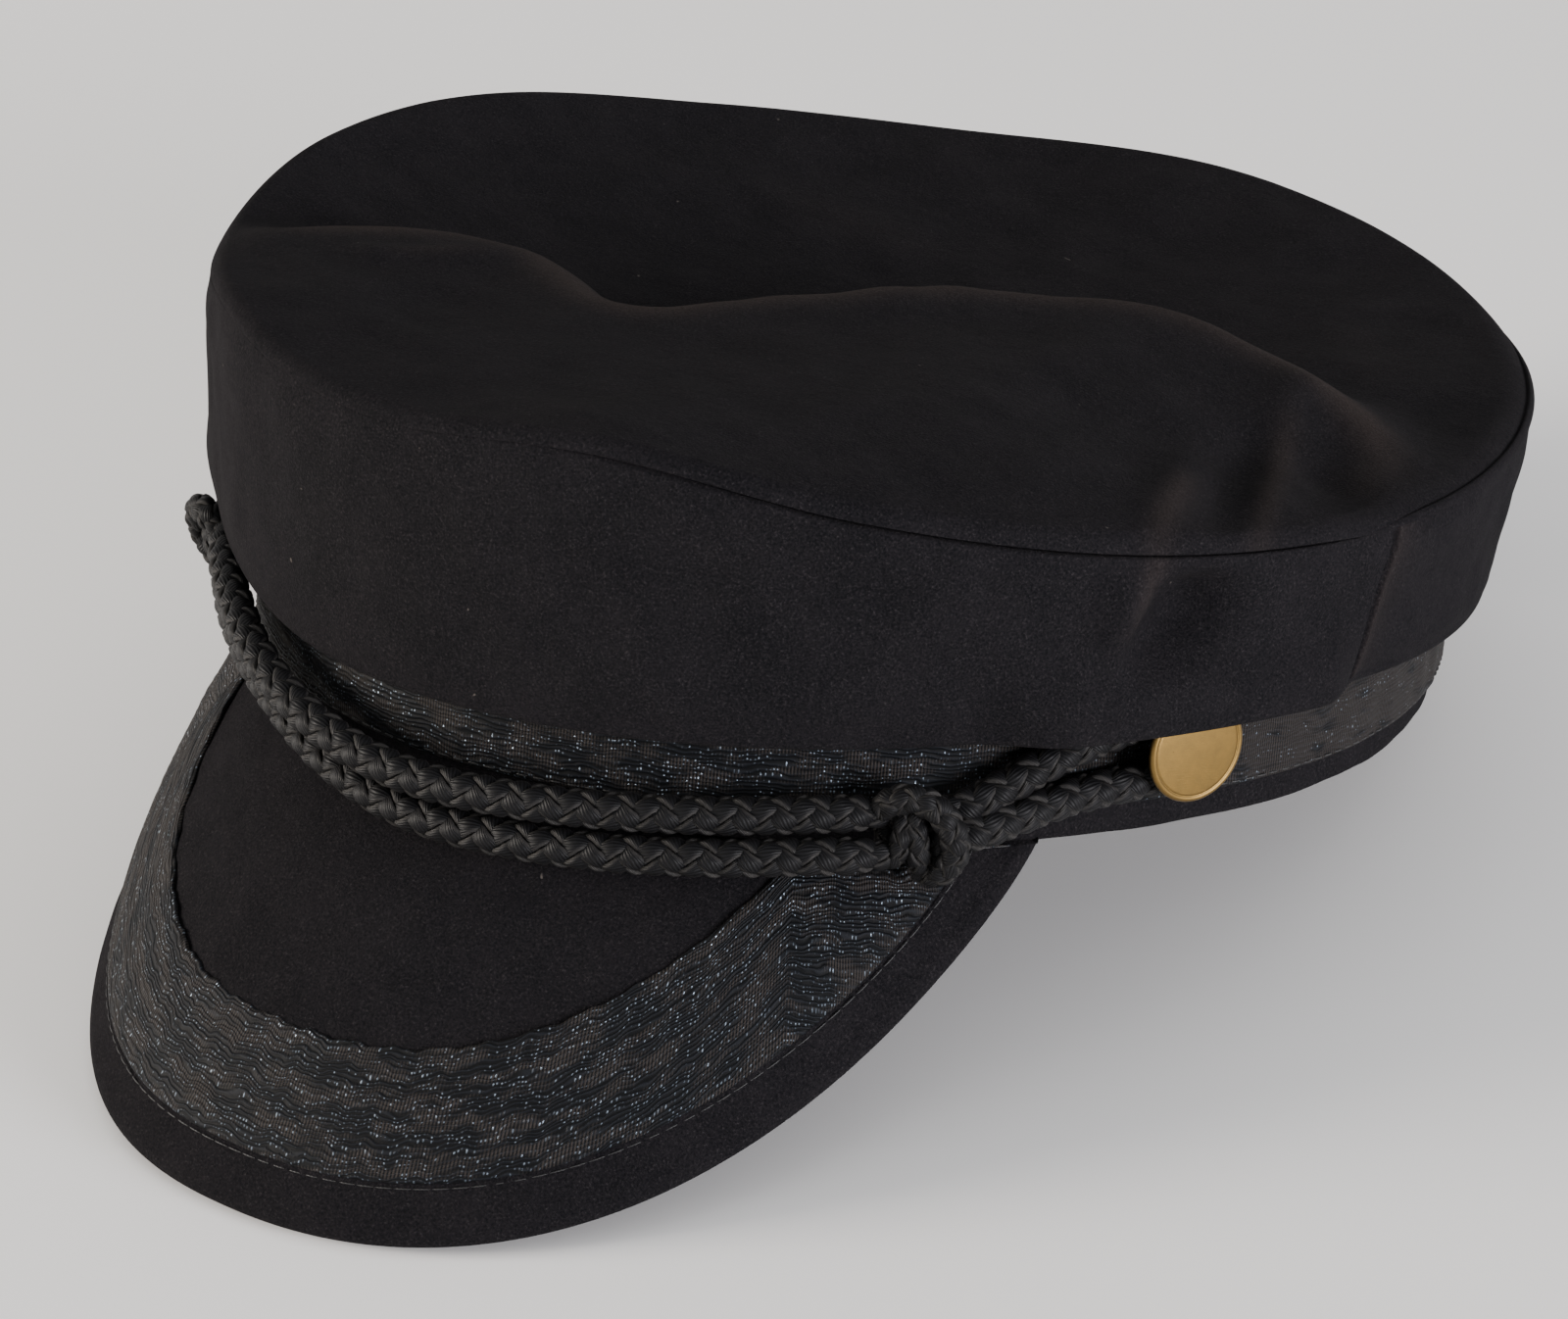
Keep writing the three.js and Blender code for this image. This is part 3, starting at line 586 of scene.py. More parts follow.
@dataclass(frozen=True)
class FoilRibbon(Finish):
    """Jacquard ribbon woven with foil thread: dark blue-grey rows with cold points of light,
    and fields of brown-grey upright stitches between them."""

    name: str = "foil_thread_jacquard"
    ground: str = "#07080a"
    thread: str = "#15171b"
    stitched: str = "#322d2a"
    foil: str = "#808c98"
    row_mm: float = 0.68
    stitch_mm: float = 0.46
    dot_mm: float = 0.52

    def dress(self, add: AddNode) -> Sockets:
        """Thread rows along the ribbon that wander a little, fields of upright stitches, and
        foil dots that sit in the rows and gather in clusters.

        Args:
            add: Adds a node to the finish's tree.

        Returns:
            What the shader's inputs get.
        """
        place = add("UVMap", uv_map="UVMap")
        # The UV is in millimetres, so a scale of 0.16 makes waves of about 6 mm.
        long = add("Mapping", {"Vector": place, "Scale": (0.16, 0.30, 1.0)})
        wander = add("TexNoise", {"Vector": long, "Scale": 1.0, "Detail": 2.0})
        split = add("SeparateXYZ", {0: place})
        swing = add("Math", {0: wander, 1: 2.8, 2: split.outputs[1]}, operation="MULTIPLY_ADD")
        turns = add("Math", {0: swing, 1: 2 * math.pi / self.row_mm}, operation="MULTIPLY")
        row = add("Math", {0: turns}, operation="SINE")
        across = add("Math", {0: split, 1: 2 * math.pi / self.stitch_mm}, operation="MULTIPLY")
        stitch = add("Math", {0: across}, operation="SINE")
        lit = add("MapRange", {"Value": row, "From Min": -0.3, "From Max": 1.0})
        tones = {6: linear(self.ground), 7: linear(self.thread)}
        thread = add("Mix", {0: lit, **tones}, data_type="RGBA").outputs[2]
        # Fields of stitches are about 8 mm long and 3 mm high.
        spread = {"Scale": (0.12, 0.34, 1.0), "Location": (7.0, 3.0, 0.0)}
        field_place = add("Mapping", {"Vector": place, **spread})
        fields = add("TexNoise", {"Vector": field_place, "Scale": 1.0, "Detail": 3.0, "Roughness": 0.6})
        # On the wearer's right and toward the back the foil is rubbed off the brown stitches.
        where = add("SeparateXYZ", {0: add("TexCoord").outputs["Object"]})
        aside = add("MapRange", {"Value": where, "From Min": -0.025, "From Max": -0.075})
        behind = add("MapRange", {"Value": where.outputs[1], "From Min": -0.035, "From Max": 0.005})
        rubbed = add("Math", {0: aside, 1: behind}, operation="MAXIMUM")
        widened = add("Math", {0: rubbed, 1: 0.14, 2: fields}, operation="MULTIPLY_ADD")
        inside = add("MapRange", {"Value": widened, "From Min": 0.47, "From Max": 0.60})
        upright = add("MapRange", {"Value": stitch, "From Min": -0.6, "From Max": 0.9})
        worked = add("Math", {0: inside, 1: upright}, operation="MULTIPLY")
        cloth = add("Mix", {0: worked, 6: thread, 7: linear(self.stitched)}, data_type="RGBA").outputs[2]
        # Foil dots, one to a cell of dot_mm by row_mm, lit at random.
        cell_u = add("Math", {0: split, 1: 1 / self.dot_mm}, operation="MULTIPLY")
        cell_v = add("Math", {0: swing, 1: 1 / self.row_mm}, operation="MULTIPLY")
        cell = add("CombineXYZ", {0: cell_u, 1: cell_v, 2: 0.0})
        settings = {"feature": "F1", "voronoi_dimensions": "2D"}
        foil = add("TexVoronoi", {"Vector": cell, "Scale": 1.0, "Randomness": 0.55}, **settings)
        dice = add("SeparateColor", {0: foil.outputs["Color"]})
        zone = add("Mapping", {"Vector": place, "Scale": (0.15, 0.42, 1.0)})
        cluster = add("TexNoise", {"Vector": zone, "Scale": 1.0, "Detail": 3.0, "Roughness": 0.65})
        span = {"From Min": 0.40, "From Max": 0.60, "To Min": 0.82, "To Max": 0.12}
        bar = add("MapRange", {"Value": cluster, **span})
        barred = add("Math", {0: rubbed, 1: 0.5, 2: bar}, operation="MULTIPLY_ADD")
        won = add("Math", {0: dice, 1: barred}, operation="GREATER_THAN")
        near = add("MapRange", {"Value": foil, "From Min": 0.27, "From Max": 0.10})
        shine = add("Math", {0: won, 1: near}, operation="MULTIPLY")
        power = add("Math", {0: dice.outputs[1], 1: 2.3}, operation="POWER")
        point = add("Math", {0: shine, 1: power}, operation="MULTIPLY")
        height = add("Math", {0: worked, 1: 1.0, 2: row}, operation="MULTIPLY_ADD")
        lifted = add("Math", {0: shine, 1: 1.0, 2: height}, operation="MULTIPLY_ADD")
        colour = add("Mix", {0: point, 6: cloth, 7: linear(self.foil)}, data_type="RGBA")
        return {
            "Base Color": colour.outputs[2],
            "Roughness": add("MapRange", {"Value": shine, "To Min": 0.66, "To Max": 0.32}),
            "Metallic": point,
            "Normal": add("Bump", {"Height": lifted, "Strength": 0.6, "Distance": 0.00012}),
            "Specular IOR Level": 0.12,
            "Sheen Weight": 0.012,
            "Sheen Roughness": 0.4,
            "Sheen Tint": linear("#b9b4ae"),
        }


@dataclass(frozen=True)
class RayonCord(Finish):
    """Braided rayon: near-black flat yarns, with a thin soft line of light painted along their edges."""

    name: str = "braided_rayon_cord"
    deep: str = "#09090a"
    lit: str = "#151517"
    # Colour of the painted highlight along the yarns' edges.
    edge: str = "#3c3a38"
    filament_mm: float = 0.34
    girth_mm: float = 6.0

    def dress(self, add: AddNode) -> Sockets:
        """Filament lines that run slantwise along each yarn, in colour and in bump, and a painted
        highlight, a pale line beside each of the yarn's two edges; v goes once from 0 to 1 round the yarn.

        Args:
            add: Adds a node to the finish's tree.

        Returns:
            What the shader's inputs get.
        """
        place = add("UVMap", uv_map="UVMap")
        split = add("SeparateXYZ", {0: place})
        # A yarn's filaments slant across it by 0.45 mm for each millimetre along it; they are
        # 0.34 mm apart, coarser than rayon's own, so that they show.
        laid = add("Math", {0: split, 1: 0.45}, operation="MULTIPLY")
        wound = add("Math", {0: split.outputs[1], 1: self.girth_mm, 2: laid}, operation="MULTIPLY_ADD")
        turns = add("Math", {0: wound, 1: 2 * math.pi / self.filament_mm}, operation="MULTIPLY")
        lines = add("Math", {0: turns}, operation="SINE")
        fine = add("TexNoise", {"Vector": place, "Scale": 1.4, "Detail": 4.0})
        blend = add("Math", {0: lines, 1: fine}, operation="MULTIPLY")
        share = add("MapRange", {"Value": blend, "From Min": -0.4, "From Max": 0.6})
        tones = {6: linear(self.deep), 7: linear(self.lit)}
        body = add("Mix", {0: share, **tones}, data_type="RGBA").outputs[2]
        # Painted highlight at the edges, where v is 0 and a half, so the size of cos(2*pi*v) is largest
        # there.
        round_it = add("Math", {0: split.outputs[1], 1: 2 * math.pi}, operation="MULTIPLY")
        size = add("Math", {0: add("Math", {0: round_it}, operation="COSINE")}, operation="ABSOLUTE")
        wear_and_highlight = add("MapRange", {"Value": size, "From Min": 0.66, "From Max": 0.92})
        edge_highlight = add("Math", {0: wear_and_highlight, 1: fine}, operation="MULTIPLY")
        colour = add("Mix", {0: edge_highlight, 6: body, 7: linear(self.edge)}, data_type="RGBA")
        return {
            "Base Color": colour.outputs[2],
            "Normal": add("Bump", {"Height": blend, "Strength": 0.5, "Distance": 0.00012}),
            "Roughness": 0.5,
            "IOR": 1.52,
            "Specular IOR Level": 0.12,
            "Sheen Weight": 0.01,
            "Sheen Tint": linear("#c9c0b6"),
        }


@dataclass(frozen=True)
class SewingThread(Finish):
    """Spun polyester sewing thread: black, a little shinier than the cloth it holds."""

    name: str = "sewing_thread"
    deep: str = "#141415"
    lit: str = "#242424"

    def dress(self, add: AddNode) -> Sockets:
        """Two-ply lines round each stitch.

        Args:
            add: Adds a node to the finish's tree.

        Returns:
            What the shader's inputs get.
        """
        place = add("UVMap", uv_map="UVMap")
        wave = add("TexWave", {"Vector": place, "Scale": 1.1, "Distortion": 1.0}, bands_direction="DIAGONAL")
        ply = wave.outputs["Fac"]
        colour = add("Mix", {0: ply, 6: linear(self.deep), 7: linear(self.lit)}, data_type="RGBA")
        return {
            "Base Color": colour.outputs[2],
            "Normal": add("Bump", {"Height": ply, "Strength": 0.4, "Distance": 0.00008}),
            "Roughness": 0.55,
        }


@dataclass(frozen=True)
class BrushedBrass(Finish):
    """Stamped brass, brushed and then dulled by handling: a soft even glow, brighter rim."""

    name: str = "brushed_brass"
    bright: str = "#7d6438"
    dull: str = "#705b35"

    def dress(self, add: AddNode) -> Sockets:
        """Fine brushing lines across the face, cloudy tarnish and a few small dark spots.

        Args:
            add: Adds a node to the finish's tree.

        Returns:
            What the shader's inputs get.
        """
        place = add("UVMap", uv_map="UVMap")
        long = add("Mapping", {"Vector": place, "Scale": (0.35, 9.0, 1.0), "Rotation": (0.0, 0.0, 0.35)})
        lines = add("TexNoise", {"Vector": long, "Scale": 1.0, "Detail": 4.0})
        cloud = add("TexNoise", {"Vector": place, "Scale": 0.45, "Detail": 5.0, "Roughness": 0.65})
        spots = add("TexVoronoi", {"Vector": place, "Scale": 0.42})
        span = {"From Min": 0.015, "From Max": 0.06, "To Min": 0.55, "To Max": 1.0}
        dark = add("MapRange", {"Value": spots, **span})
        share = add("MapRange", {"Value": cloud, "From Min": 0.35, "From Max": 0.68})
        tones = {6: linear(self.bright), 7: linear(self.dull)}
        body = add("Mix", {0: share, **tones}, data_type="RGBA").outputs[2]
        colour = add("Mix", {0: 1.0, 6: body, 7: dark}, data_type="RGBA", blend_type="MULTIPLY")
        return {
            "Base Color": colour.outputs[2],
            "Roughness": add("MapRange", {"Value": cloud, "To Min": 0.40, "To Max": 0.50}),
            "Normal": add("Bump", {"Height": lines, "Strength": 0.35, "Distance": 0.00004}),
            "Metallic": 1.0,
        }


@dataclass(frozen=True)
class PaperFloor(Finish):
    """Matt white paper sweep under the cap."""

    name: str = "matt_white_paper"
    tone: str = "#fbfaf9"
    shade: str = "#f7f6f5"

    def dress(self, add: AddNode) -> Sockets:
        """A faint cloudiness in an even white.

        Args:
            add: Adds a node to the finish's tree.

        Returns:
            What the shader's inputs get.
        """
        cloud = add("TexNoise", {"Vector": add("TexCoord").outputs["Object"], "Scale": 3.0, "Detail": 2.0})
        colour = add("Mix", {0: cloud, 6: linear(self.tone), 7: linear(self.shade)}, data_type="RGBA")
        return {"Base Color": colour.outputs[2], "Roughness": 0.85}


WOOL = MeltonWool()
RIBBON = FoilRibbon()
CORD = RayonCord()
THREAD = SewingThread()
BRASS = BrushedBrass()
# Millimetres between parts that lie on each other, in the rim seam, and of a ribbon's
# turned edge, with the spacing and the height of its thread rows.
CLEARANCE = 0.3
SEAM_GAP = 0.45
RIBBON_EDGE = 0.9
ROW_SPACING = 1.36
ROW_RISE = 0.04


def thread_rows(across: Array) -> Array:
    """Height of a ribbon's thread rows at millimetres across it."""
    return ROW_RISE * np.sin(2 * math.pi * across / ROW_SPACING)


@dataclass(frozen=True)
class HeadOutline:
    """The egg-round outline of the head band, as a rounded oval."""

    length: float = 199.6
    width: float = 171.6
    power: float = 1.9

    def around(self, azimuth: Array, stand_off: Array, height: Array) -> Array:
        """Points of the outline.

        x is (width/2 + stand_off) times the signed 2/power power of the azimuth's sine, and y
        is minus (length/2 + stand_off) times that of its cosine.

        Args:
            azimuth: Degrees from the front toward the wearer's left.
            stand_off: Millimetres outside the band.
            height: Millimetres above the band's lower edge.

        Returns:
            The points, with x, y and z on the last axis.
        """
        angle = np.radians(azimuth)
        share = 2 / self.power
        x = (self.width / 2 + stand_off) * signed_power(np.sin(angle), share)
        y = -(self.length / 2 + stand_off) * signed_power(np.cos(angle), share)
        return stacked(x, y, height)

    def stride(self, azimuth: float, stand_off: float) -> float:
        """Millimetres along the outline for a degree of azimuth."""
        before, after = self.around(np.array([azimuth - 0.5, azimuth + 0.5]), stand_off, 0.0)
        return float(np.linalg.norm(after - before))

    def axes(self, azimuth: float) -> tuple[Array, Array]:
        """Unit vectors along the outline, toward greater azimuth, and out of it.

        Args:
            azimuth: Degrees from the front toward the wearer's left.

        Returns:
            The two level unit vectors.
        """
        before, after = self.around(np.array([azimuth - 0.5, azimuth + 0.5]), 0.0, 0.0)
        along = unit(after - before)
        return along, np.array([along[1], -along[0], 0.0])

    def outward(self, points: Array) -> Array:
        """Level unit vectors that point out of the outline at points near it.

        Args:
            points: Places, with three coordinates on the last axis.

        Returns:
            One vector for each point.
        """
        x = points[..., 0] / (self.width / 2) ** 2
        y = points[..., 1] / (self.length / 2) ** 2
        return unit(stacked(x, y, 0.0))

    def ring(self, count: int, fine: tuple[float, ...] = ()) -> tuple[Array, Array]:
        """Azimuths from the back round to the back, and the millimetres travelled along the
        outline at each of them and at the join.

        Args:
            count: How many azimuths are evenly spread.
            fine: Azimuths about which more of them are added, 0.12 degrees apart.

        Returns:
            The azimuths and the lengths.
        """
        near = [at + np.arange(-3.6, 2.4, 0.12) for at in fine]
        azimuth = np.unique(np.concatenate([np.linspace(-180, 180, count, endpoint=False), *near]))
        line = self.around(np.append(azimuth, 180.0), 0.0, 0.0)
        return azimuth, lengths_along(line)


OUTLINE = HeadOutline()


@dataclass(frozen=True)
class StitchRow:
    """A row of lockstitches lying on cloth: each one a short tapered arch of thread."""

    length: float = 2.3
    gap: float = 0.7
    radius: float = 0.22
    rise: float = 0.12

    def along(self, line: Array, normals: Array) -> Patch:
        """Stitches along a line.

        A stitch goes straight from its first hole to its second, lifted along the cloth's
        normal by rise*sin(pi*t), with a round section that closes toward both ends.

        Args:
            line: Points of the line.
            normals: The cloth's normal at each of them.

        Returns:
            One patch with every stitch.
        """
        run = lengths_along(line)
        count = max(int(run[-1] / (self.length + self.gap)), 1)
        starts = np.linspace(0, run[-1] - self.length, count)
        share = np.linspace(0, 1, 7)
        at = starts[:, None] + self.length * share
        path = read_at(line, run, at)
        up = unit(read_at(normals, run, at))
        path = path + up * (self.rise * np.sin(math.pi * share)[None, :, None] + 0.4 * self.radius)
        tangent = unit(np.gradient(path, axis=1))
        side = unit(np.cross(tangent, up))
        angle = np.linspace(0, 2 * math.pi, 6, endpoint=False)
        thick = self.radius * np.sqrt(np.clip(1 - (2 * share - 1) ** 4, 0.03, 1))
        ring = side[:, :, None] * np.cos(angle)[:, None] + up[:, :, None] * np.sin(angle)[:, None]
        points = path[:, :, None] + ring * thick[None, :, None, None]
        return tube_patch(points, at, np.linspace(0, 2 * math.pi * self.radius, 7))


@dataclass
class Crown:
    """The soft crown: a side wall that hangs over the band, and the top panel sewn to it."""

    height: float = 54.0
    overhang: float = 10.0
    wall: float = 2.0
    fold_height: float = 15.5
    valley_depth: float = 12.5
    crest_height: float = 54.0
    ribbon_top: float = 25.0
    band_height: float = 29.0
    ribbon_face: float = 1.3
    button_azimuth: float = 68.0
    button_open: float = 10.7
    button_cover: float = 11.4
    seam_azimuths: tuple[float, ...] = (86.0, -94.0)
    rim_rows: tuple[tuple[float, float, float], ...] = (
        (0, 0.98, 0.96), (20, 1.01, 0.97), (40, 0.90, 1.03), (60, 0.815, 1.14), (80, 0.785, 1.19),
        (100, 0.80, 1.13), (122, 0.845, 1.07), (145, 0.89, 1.08), (168, 0.97, 1.12), (190, 1.03, 1.17),
        (215, 1.04, 1.22), (238, 1.10, 1.28), (262, 1.175, 1.32), (285, 1.145, 1.33), (310, 1.03, 1.22),
        (328, 1.05, 1.16), (345, 1.00, 1.00),
    )
    wall_rows: tuple[tuple[float, float], ...] = (
        (0, 0.65), (0.12, 0.76), (0.35, 0.85), (0.62, 0.95), (0.85, 1.02), (1, 1.00),
    )
    dents: tuple[tuple[float, float, float, float, float], ...] = (
        (66.0, 0.66, 3.2, 0.28, 0.58), (62.5, 0.36, 2.8, 0.24, 0.40), (60, 0.66, 1.9, 0.36, -0.26),
        (93, 0.45, 9.0, 0.40, 0.12),
        (26, 0.30, 16, 0.30, -0.10), (150, 0.50, 14, 0.40, 0.16), (205, 0.55, 12, 0.35, 0.18),
        (252, 0.45, 16, 0.35, 0.14), (306, 0.12, 12, 0.36, -0.28),
    )
    crest_rows: tuple[tuple[float, float, float], ...] = (
        (-0.72, -0.60, 1.07), (-0.56, -0.42, 1.04), (-0.38, -0.36, 1.02), (-0.12, -0.44, 0.99),
        (0.00, -0.26, 1.00), (0.16, 0.00, 1.01), (0.38, 0.15, 1.00), (0.58, 0.18, 0.95),
        (0.78, 0.16, 0.88), (0.885, 0.095, 0.81), (0.947, -0.02, 0.76),
    )
    creases: tuple[tuple[float, float, float, float, float, float], ...] = (
        (0.885, -0.47, 0.755, -0.22, 0.42, 0.40), (0.97, -0.355, 0.68, 0.12, 0.40, 0.36),
        (0.92, -0.34, 0.74, -0.06, 0.55, -0.32), (0.93, -0.08, 0.76, 0.08, 0.55, -0.26),
        (-0.66, -0.30, -0.42, -0.16, 0.90, 0.22), (-0.50, -0.56, -0.38, -0.41, 0.40, 0.16),
        (-0.62, 0.38, -0.16, 0.44, 1.30, 0.24), (0.40, 0.62, 0.72, 0.34, 1.20, 0.26),
    )
    crest_line: Array = field(init=False)

    def __post_init__(self) -> None:
        """Works out the crest's line, in millimetres across and along with its lift."""
        half = np.array([OUTLINE.width / 2 + self.overhang, OUTLINE.length / 2 + self.overhang, 1.0])
        self.crest_line = flowing_line(np.array(self.crest_rows) * half, 91)

    def rim(self, azimuth: Array) -> Array:
        """Height of the rim seam."""
        rows = np.array(self.rim_rows)
        return self.height * through(rows[:, 0], rows[:, 1], azimuth, 360.0)

    def fold(self, azimuth: Array) -> Array:
        """Height of the lower fold."""
        rows = np.array(self.rim_rows)
        return self.fold_height * through(rows[:, 0], rows[:, 2], azimuth, 360.0)

    def cover(self, azimuth: Array) -> Array:
        """1 over each button, where the fold stands clear of it, and 0 away from them."""
        turns = [np.abs(degrees_from(side.value * self.button_azimuth, azimuth)) for side in Side]
        return np.maximum(*[smooth(self.button_open + 8, self.button_open, turn) for turn in turns])

    def gape(self, azimuth: Array) -> Array:
        """1 at the back of the left side, where the rim seam gapes, and 0 away from it."""
        return smooth(76, 92, azimuth) * smooth(158, 126, azimuth)

    def wall_out(self, azimuth: Array, rise: Array) -> Array:
        """How far the side wall stands out: the section's share of the overhang, less the
        bell-shaped dents, and held clear of the buttons.

        Args:
            azimuth: Degrees from the front toward the wearer's left.
            rise: Share of the wall's height, 0 at the fold and 1 at the rim.

        Returns:
            Millimetres out of the band's outline.
        """
        rows = np.array(self.wall_rows)
        out = self.overhang * through(rows[:, 0], rows[:, 1], rise) + 0 * azimuth
        for place, level, spread, tall, depth in self.dents:
            turn = degrees_from(place, azimuth)
            bell = np.exp(-((turn / spread) ** 2) - ((rise - level) / tall) ** 2)
            out = out - self.overhang * depth * bell * smooth(1.0, 0.8, rise)
        held = np.maximum(out, self.button_cover)
        return lerp(out, held, self.cover(azimuth) * smooth(0.6, 0.1, rise))

    def crest_distance(self, flat: Array) -> tuple[Array, Array]:
        """Distance from the crest's line, positive on the near side of it, and its lift: a mean
        over the line in which near points count most, so that it changes without a step.

        Args:
            flat: Points, N x 2.

        Returns:
            The distances and the crest's lift beside each point.
        """
        start, end = self.crest_line[:-1], self.crest_line[1:]
        run = (end - start)[:, :2]
        off = flat[:, None] - start[None, :, :2]
        t = np.clip((off * run).sum(-1) / (run**2).sum(-1), 0, 1)
        miss = off - t[..., None] * run
        gap = np.hypot(miss[..., 0], miss[..., 1])
        best = gap.argmin(1)
        pick = np.arange(len(flat))
        turn = miss[pick, best, 0] * run[best, 1] - miss[pick, best, 1] * run[best, 0]
        side = np.where(turn < 0, -1.0, 1.0)
        weight = (gap**2 + (1.4 * self.overhang) ** 2) ** -2
        lift = (weight * lerp(start[:, 2], end[:, 2], t)).sum(1) / weight.sum(1)
        return gap[pick, best] * side, lift

    def beside_creases(self, flat: Array) -> list[tuple[float, float, Array, Array]]:
        """Where points lie beside each short crease.

        Args:
            flat: Points, N x 2.

        Returns:
            For each crease its spread, its lift, and for each point the share of the way along
            the crease and the distance from it.
        """
        half = np.array([OUTLINE.width / 2 + self.overhang, OUTLINE.length / 2 + self.overhang])
        found = []
        for x0, y0, x1, y1, spread, lift in self.creases:
            start = np.array([x0, y0]) * half
            run = np.array([x1, y1]) * half - start
            t = np.clip(((flat - start) @ run) / (run @ run), 0, 1)
            away = np.linalg.norm(flat - start - t[:, None] * run, axis=1)
            found.append((spread, lift, t, away))
        return found

    def crease_lift(self, flat: Array) -> Array:
        """Height that the short creases add: each a ridge or furrow with a bell section that
        fades toward its far end.

        Args:
            flat: Points, N x 2.

        Returns:
            Millimetres, one number for each point.
        """
        total = np.zeros(len(flat))
        for spread, lift, t, away in self.beside_creases(flat):
            bell = np.exp(-((away / (self.overhang * spread)) ** 2))
            total += self.overhang * lift * (1 - 0.6 * t) * bell
        return total

    def top(self, azimuth: Array, reach: Array, lift: Array) -> Array:
        """Points of the top panel.

        A point is the outline at the overhang scaled by reach. Its height goes from an inner
        level to the rim by a power of reach; the inner level is a pillow in front of the crest
        and a valley behind it, with a rounded ridge along the crest and the short creases.

        Args:
            azimuth: Degrees from the front.
            reach: Share of the way out to the rim.
            lift: Millimetres added to the height.

        Returns:
            The points, N x 3.
        """
        flat = OUTLINE.around(azimuth, self.overhang, 0.0)[:, :2] * reach[:, None]
        distance, crest_lift = self.crest_distance(flat)
        front = smooth(-1.9 * self.overhang, 0.4 * self.overhang, distance)
        edge = lerp(reach**2.2, reach**6, front)
        inner = lerp(self.crest_height - self.valley_depth, self.crest_height * crest_lift, front)
        inner = inner + self.crease_lift(flat)
        ridge = 0.22 * self.overhang * np.exp(-((distance / self.overhang) ** 2)) * (1 - reach**4)
        return stacked(flat[:, 0], flat[:, 1], lerp(inner, self.rim(azimuth), edge) + ridge + lift)

    def top_highlight(self, azimuth: Array, reach: Array) -> Array:
        """How much painted highlight the top panel gets: a soft band along the crest and along each short
        ridge.

        Args:
            azimuth: Degrees from the front.
            reach: Share of the way out to the rim.

        Returns:
            A share from 0 to 1 for each point.
        """
        flat = OUTLINE.around(azimuth, self.overhang, 0.0)[:, :2] * reach[:, None]
        distance, _ = self.crest_distance(flat)
        total = 0.52 * np.exp(-(((distance - 1.4) / 4.0) ** 2)) * smooth(0.98, 0.80, reach)
        for spread, lift, t, away in self.beside_creases(flat):
            # A broad fold gets little painted highlight, and every crease gets least at its two ends.
            strength = 0.9 if spread < 0.8 else 0.2
            taper = strength * smooth(-0.1, 0.3, t) * smooth(1.0, 0.6, t)
            total += max(lift, 0.0) * taper * np.exp(-((away / (0.45 * self.overhang * spread)) ** 2))
        return np.clip(total, 0, 1)

    def build_top(self, steps: int = 190, roll: float = 2.2) -> bpy.types.Object:
        """The top panel: a square grid bent to the rim's oval, its edge rolled down to the seam.

        A grid point (a, b) goes to (a*sqrt(1 - b*b/2), b*sqrt(1 - a*a/2)), which fills a disc
        with no pole; the sine of the grid's own steps crowds its lines toward the rim.

        Args:
            steps: Points along each side of the grid.
            roll: How far the edge's roll reaches in from the rim, in millimetres.

        Returns:
            The object.
        """
        line = np.sin(np.linspace(-math.pi / 2, math.pi / 2, steps))
        a, b = np.meshgrid(line, line, indexing="ij")
        x, y = a * np.sqrt(1 - b * b / 2), b * np.sqrt(1 - a * a / 2)
        reach = np.clip(np.hypot(x, y), 0, 1).ravel()
        azimuth = np.degrees(np.arctan2(x, -y)).ravel()
        edge = (1 - reach) * (OUTLINE.width / 2 + self.overhang)
        wide = roll + 2.8 * self.gape(azimuth)
        depth = SEAM_GAP + self.wall - 0.25 + self.gape(azimuth)
        round_off = depth * (1 - rounded(edge, wide))
        top = self.top(azimuth, reach, SEAM_GAP + self.wall - round_off)
        calm = smooth(0.0, 9.0, edge)
        top[:, 2] += calm * (0.42 * drift(top, 34.0, 5) + 0.16 * drift(top, 13.0, 6))
        bottom = self.top(azimuth, reach * 0.997, 0.1 - self.gape(azimuth))
        uv = top[:, :2].reshape(steps, steps, 2)
        top, bottom = (side.reshape(steps, steps, 3) for side in (top, bottom))
        patch = sheet_patch(top, bottom, uv)
        # Painted highlight along the crest and the short ridges, on the upper side only.
        patch.rubbed = np.concatenate([self.top_highlight(azimuth, reach), np.zeros(len(reach))])
        return make_piece("crown_top_panel", patch, WOOL, "wool", "crown_top")

    def side_section(self, azimuth: Array) -> tuple[Array, Array]:
        """The side wall's closed section at each azimuth.

        It runs from the seam on the band down behind the ribbon's face, out to the fold, round
        it, up the outer wall, over the rim and back down inside.

        Args:
            azimuth: N azimuths.

        Returns:
            N x K x 3 points, and the share of painted highlight at each of them.
        """
        a = azimuth[:, None]
        fold, rim = self.fold(a), self.rim(a)
        bottom = fold + 0.75 * self.wall
        hem = self.wall_out(a, np.zeros(1))
        inner = hem - self.wall
        high = self.ribbon_top - self.wall
        under = np.minimum(lerp(bottom, high, self.cover(a)), high)
        face = self.ribbon_face + CLEARANCE
        turn = np.linspace(0, math.pi / 2, 7)
        start = [
            (CLEARANCE + 0 * a, self.band_height + 0 * a),
            (CLEARANCE + 0 * a, self.ribbon_top + CLEARANCE + 0 * a),
            (face + 0 * a, self.ribbon_top + CLEARANCE + 0 * a),
            (face + 0 * a, under),
            (lerp(face, inner, 0.5), under - 0.2),
            (inner, under - 0.1 * self.wall),
        ]
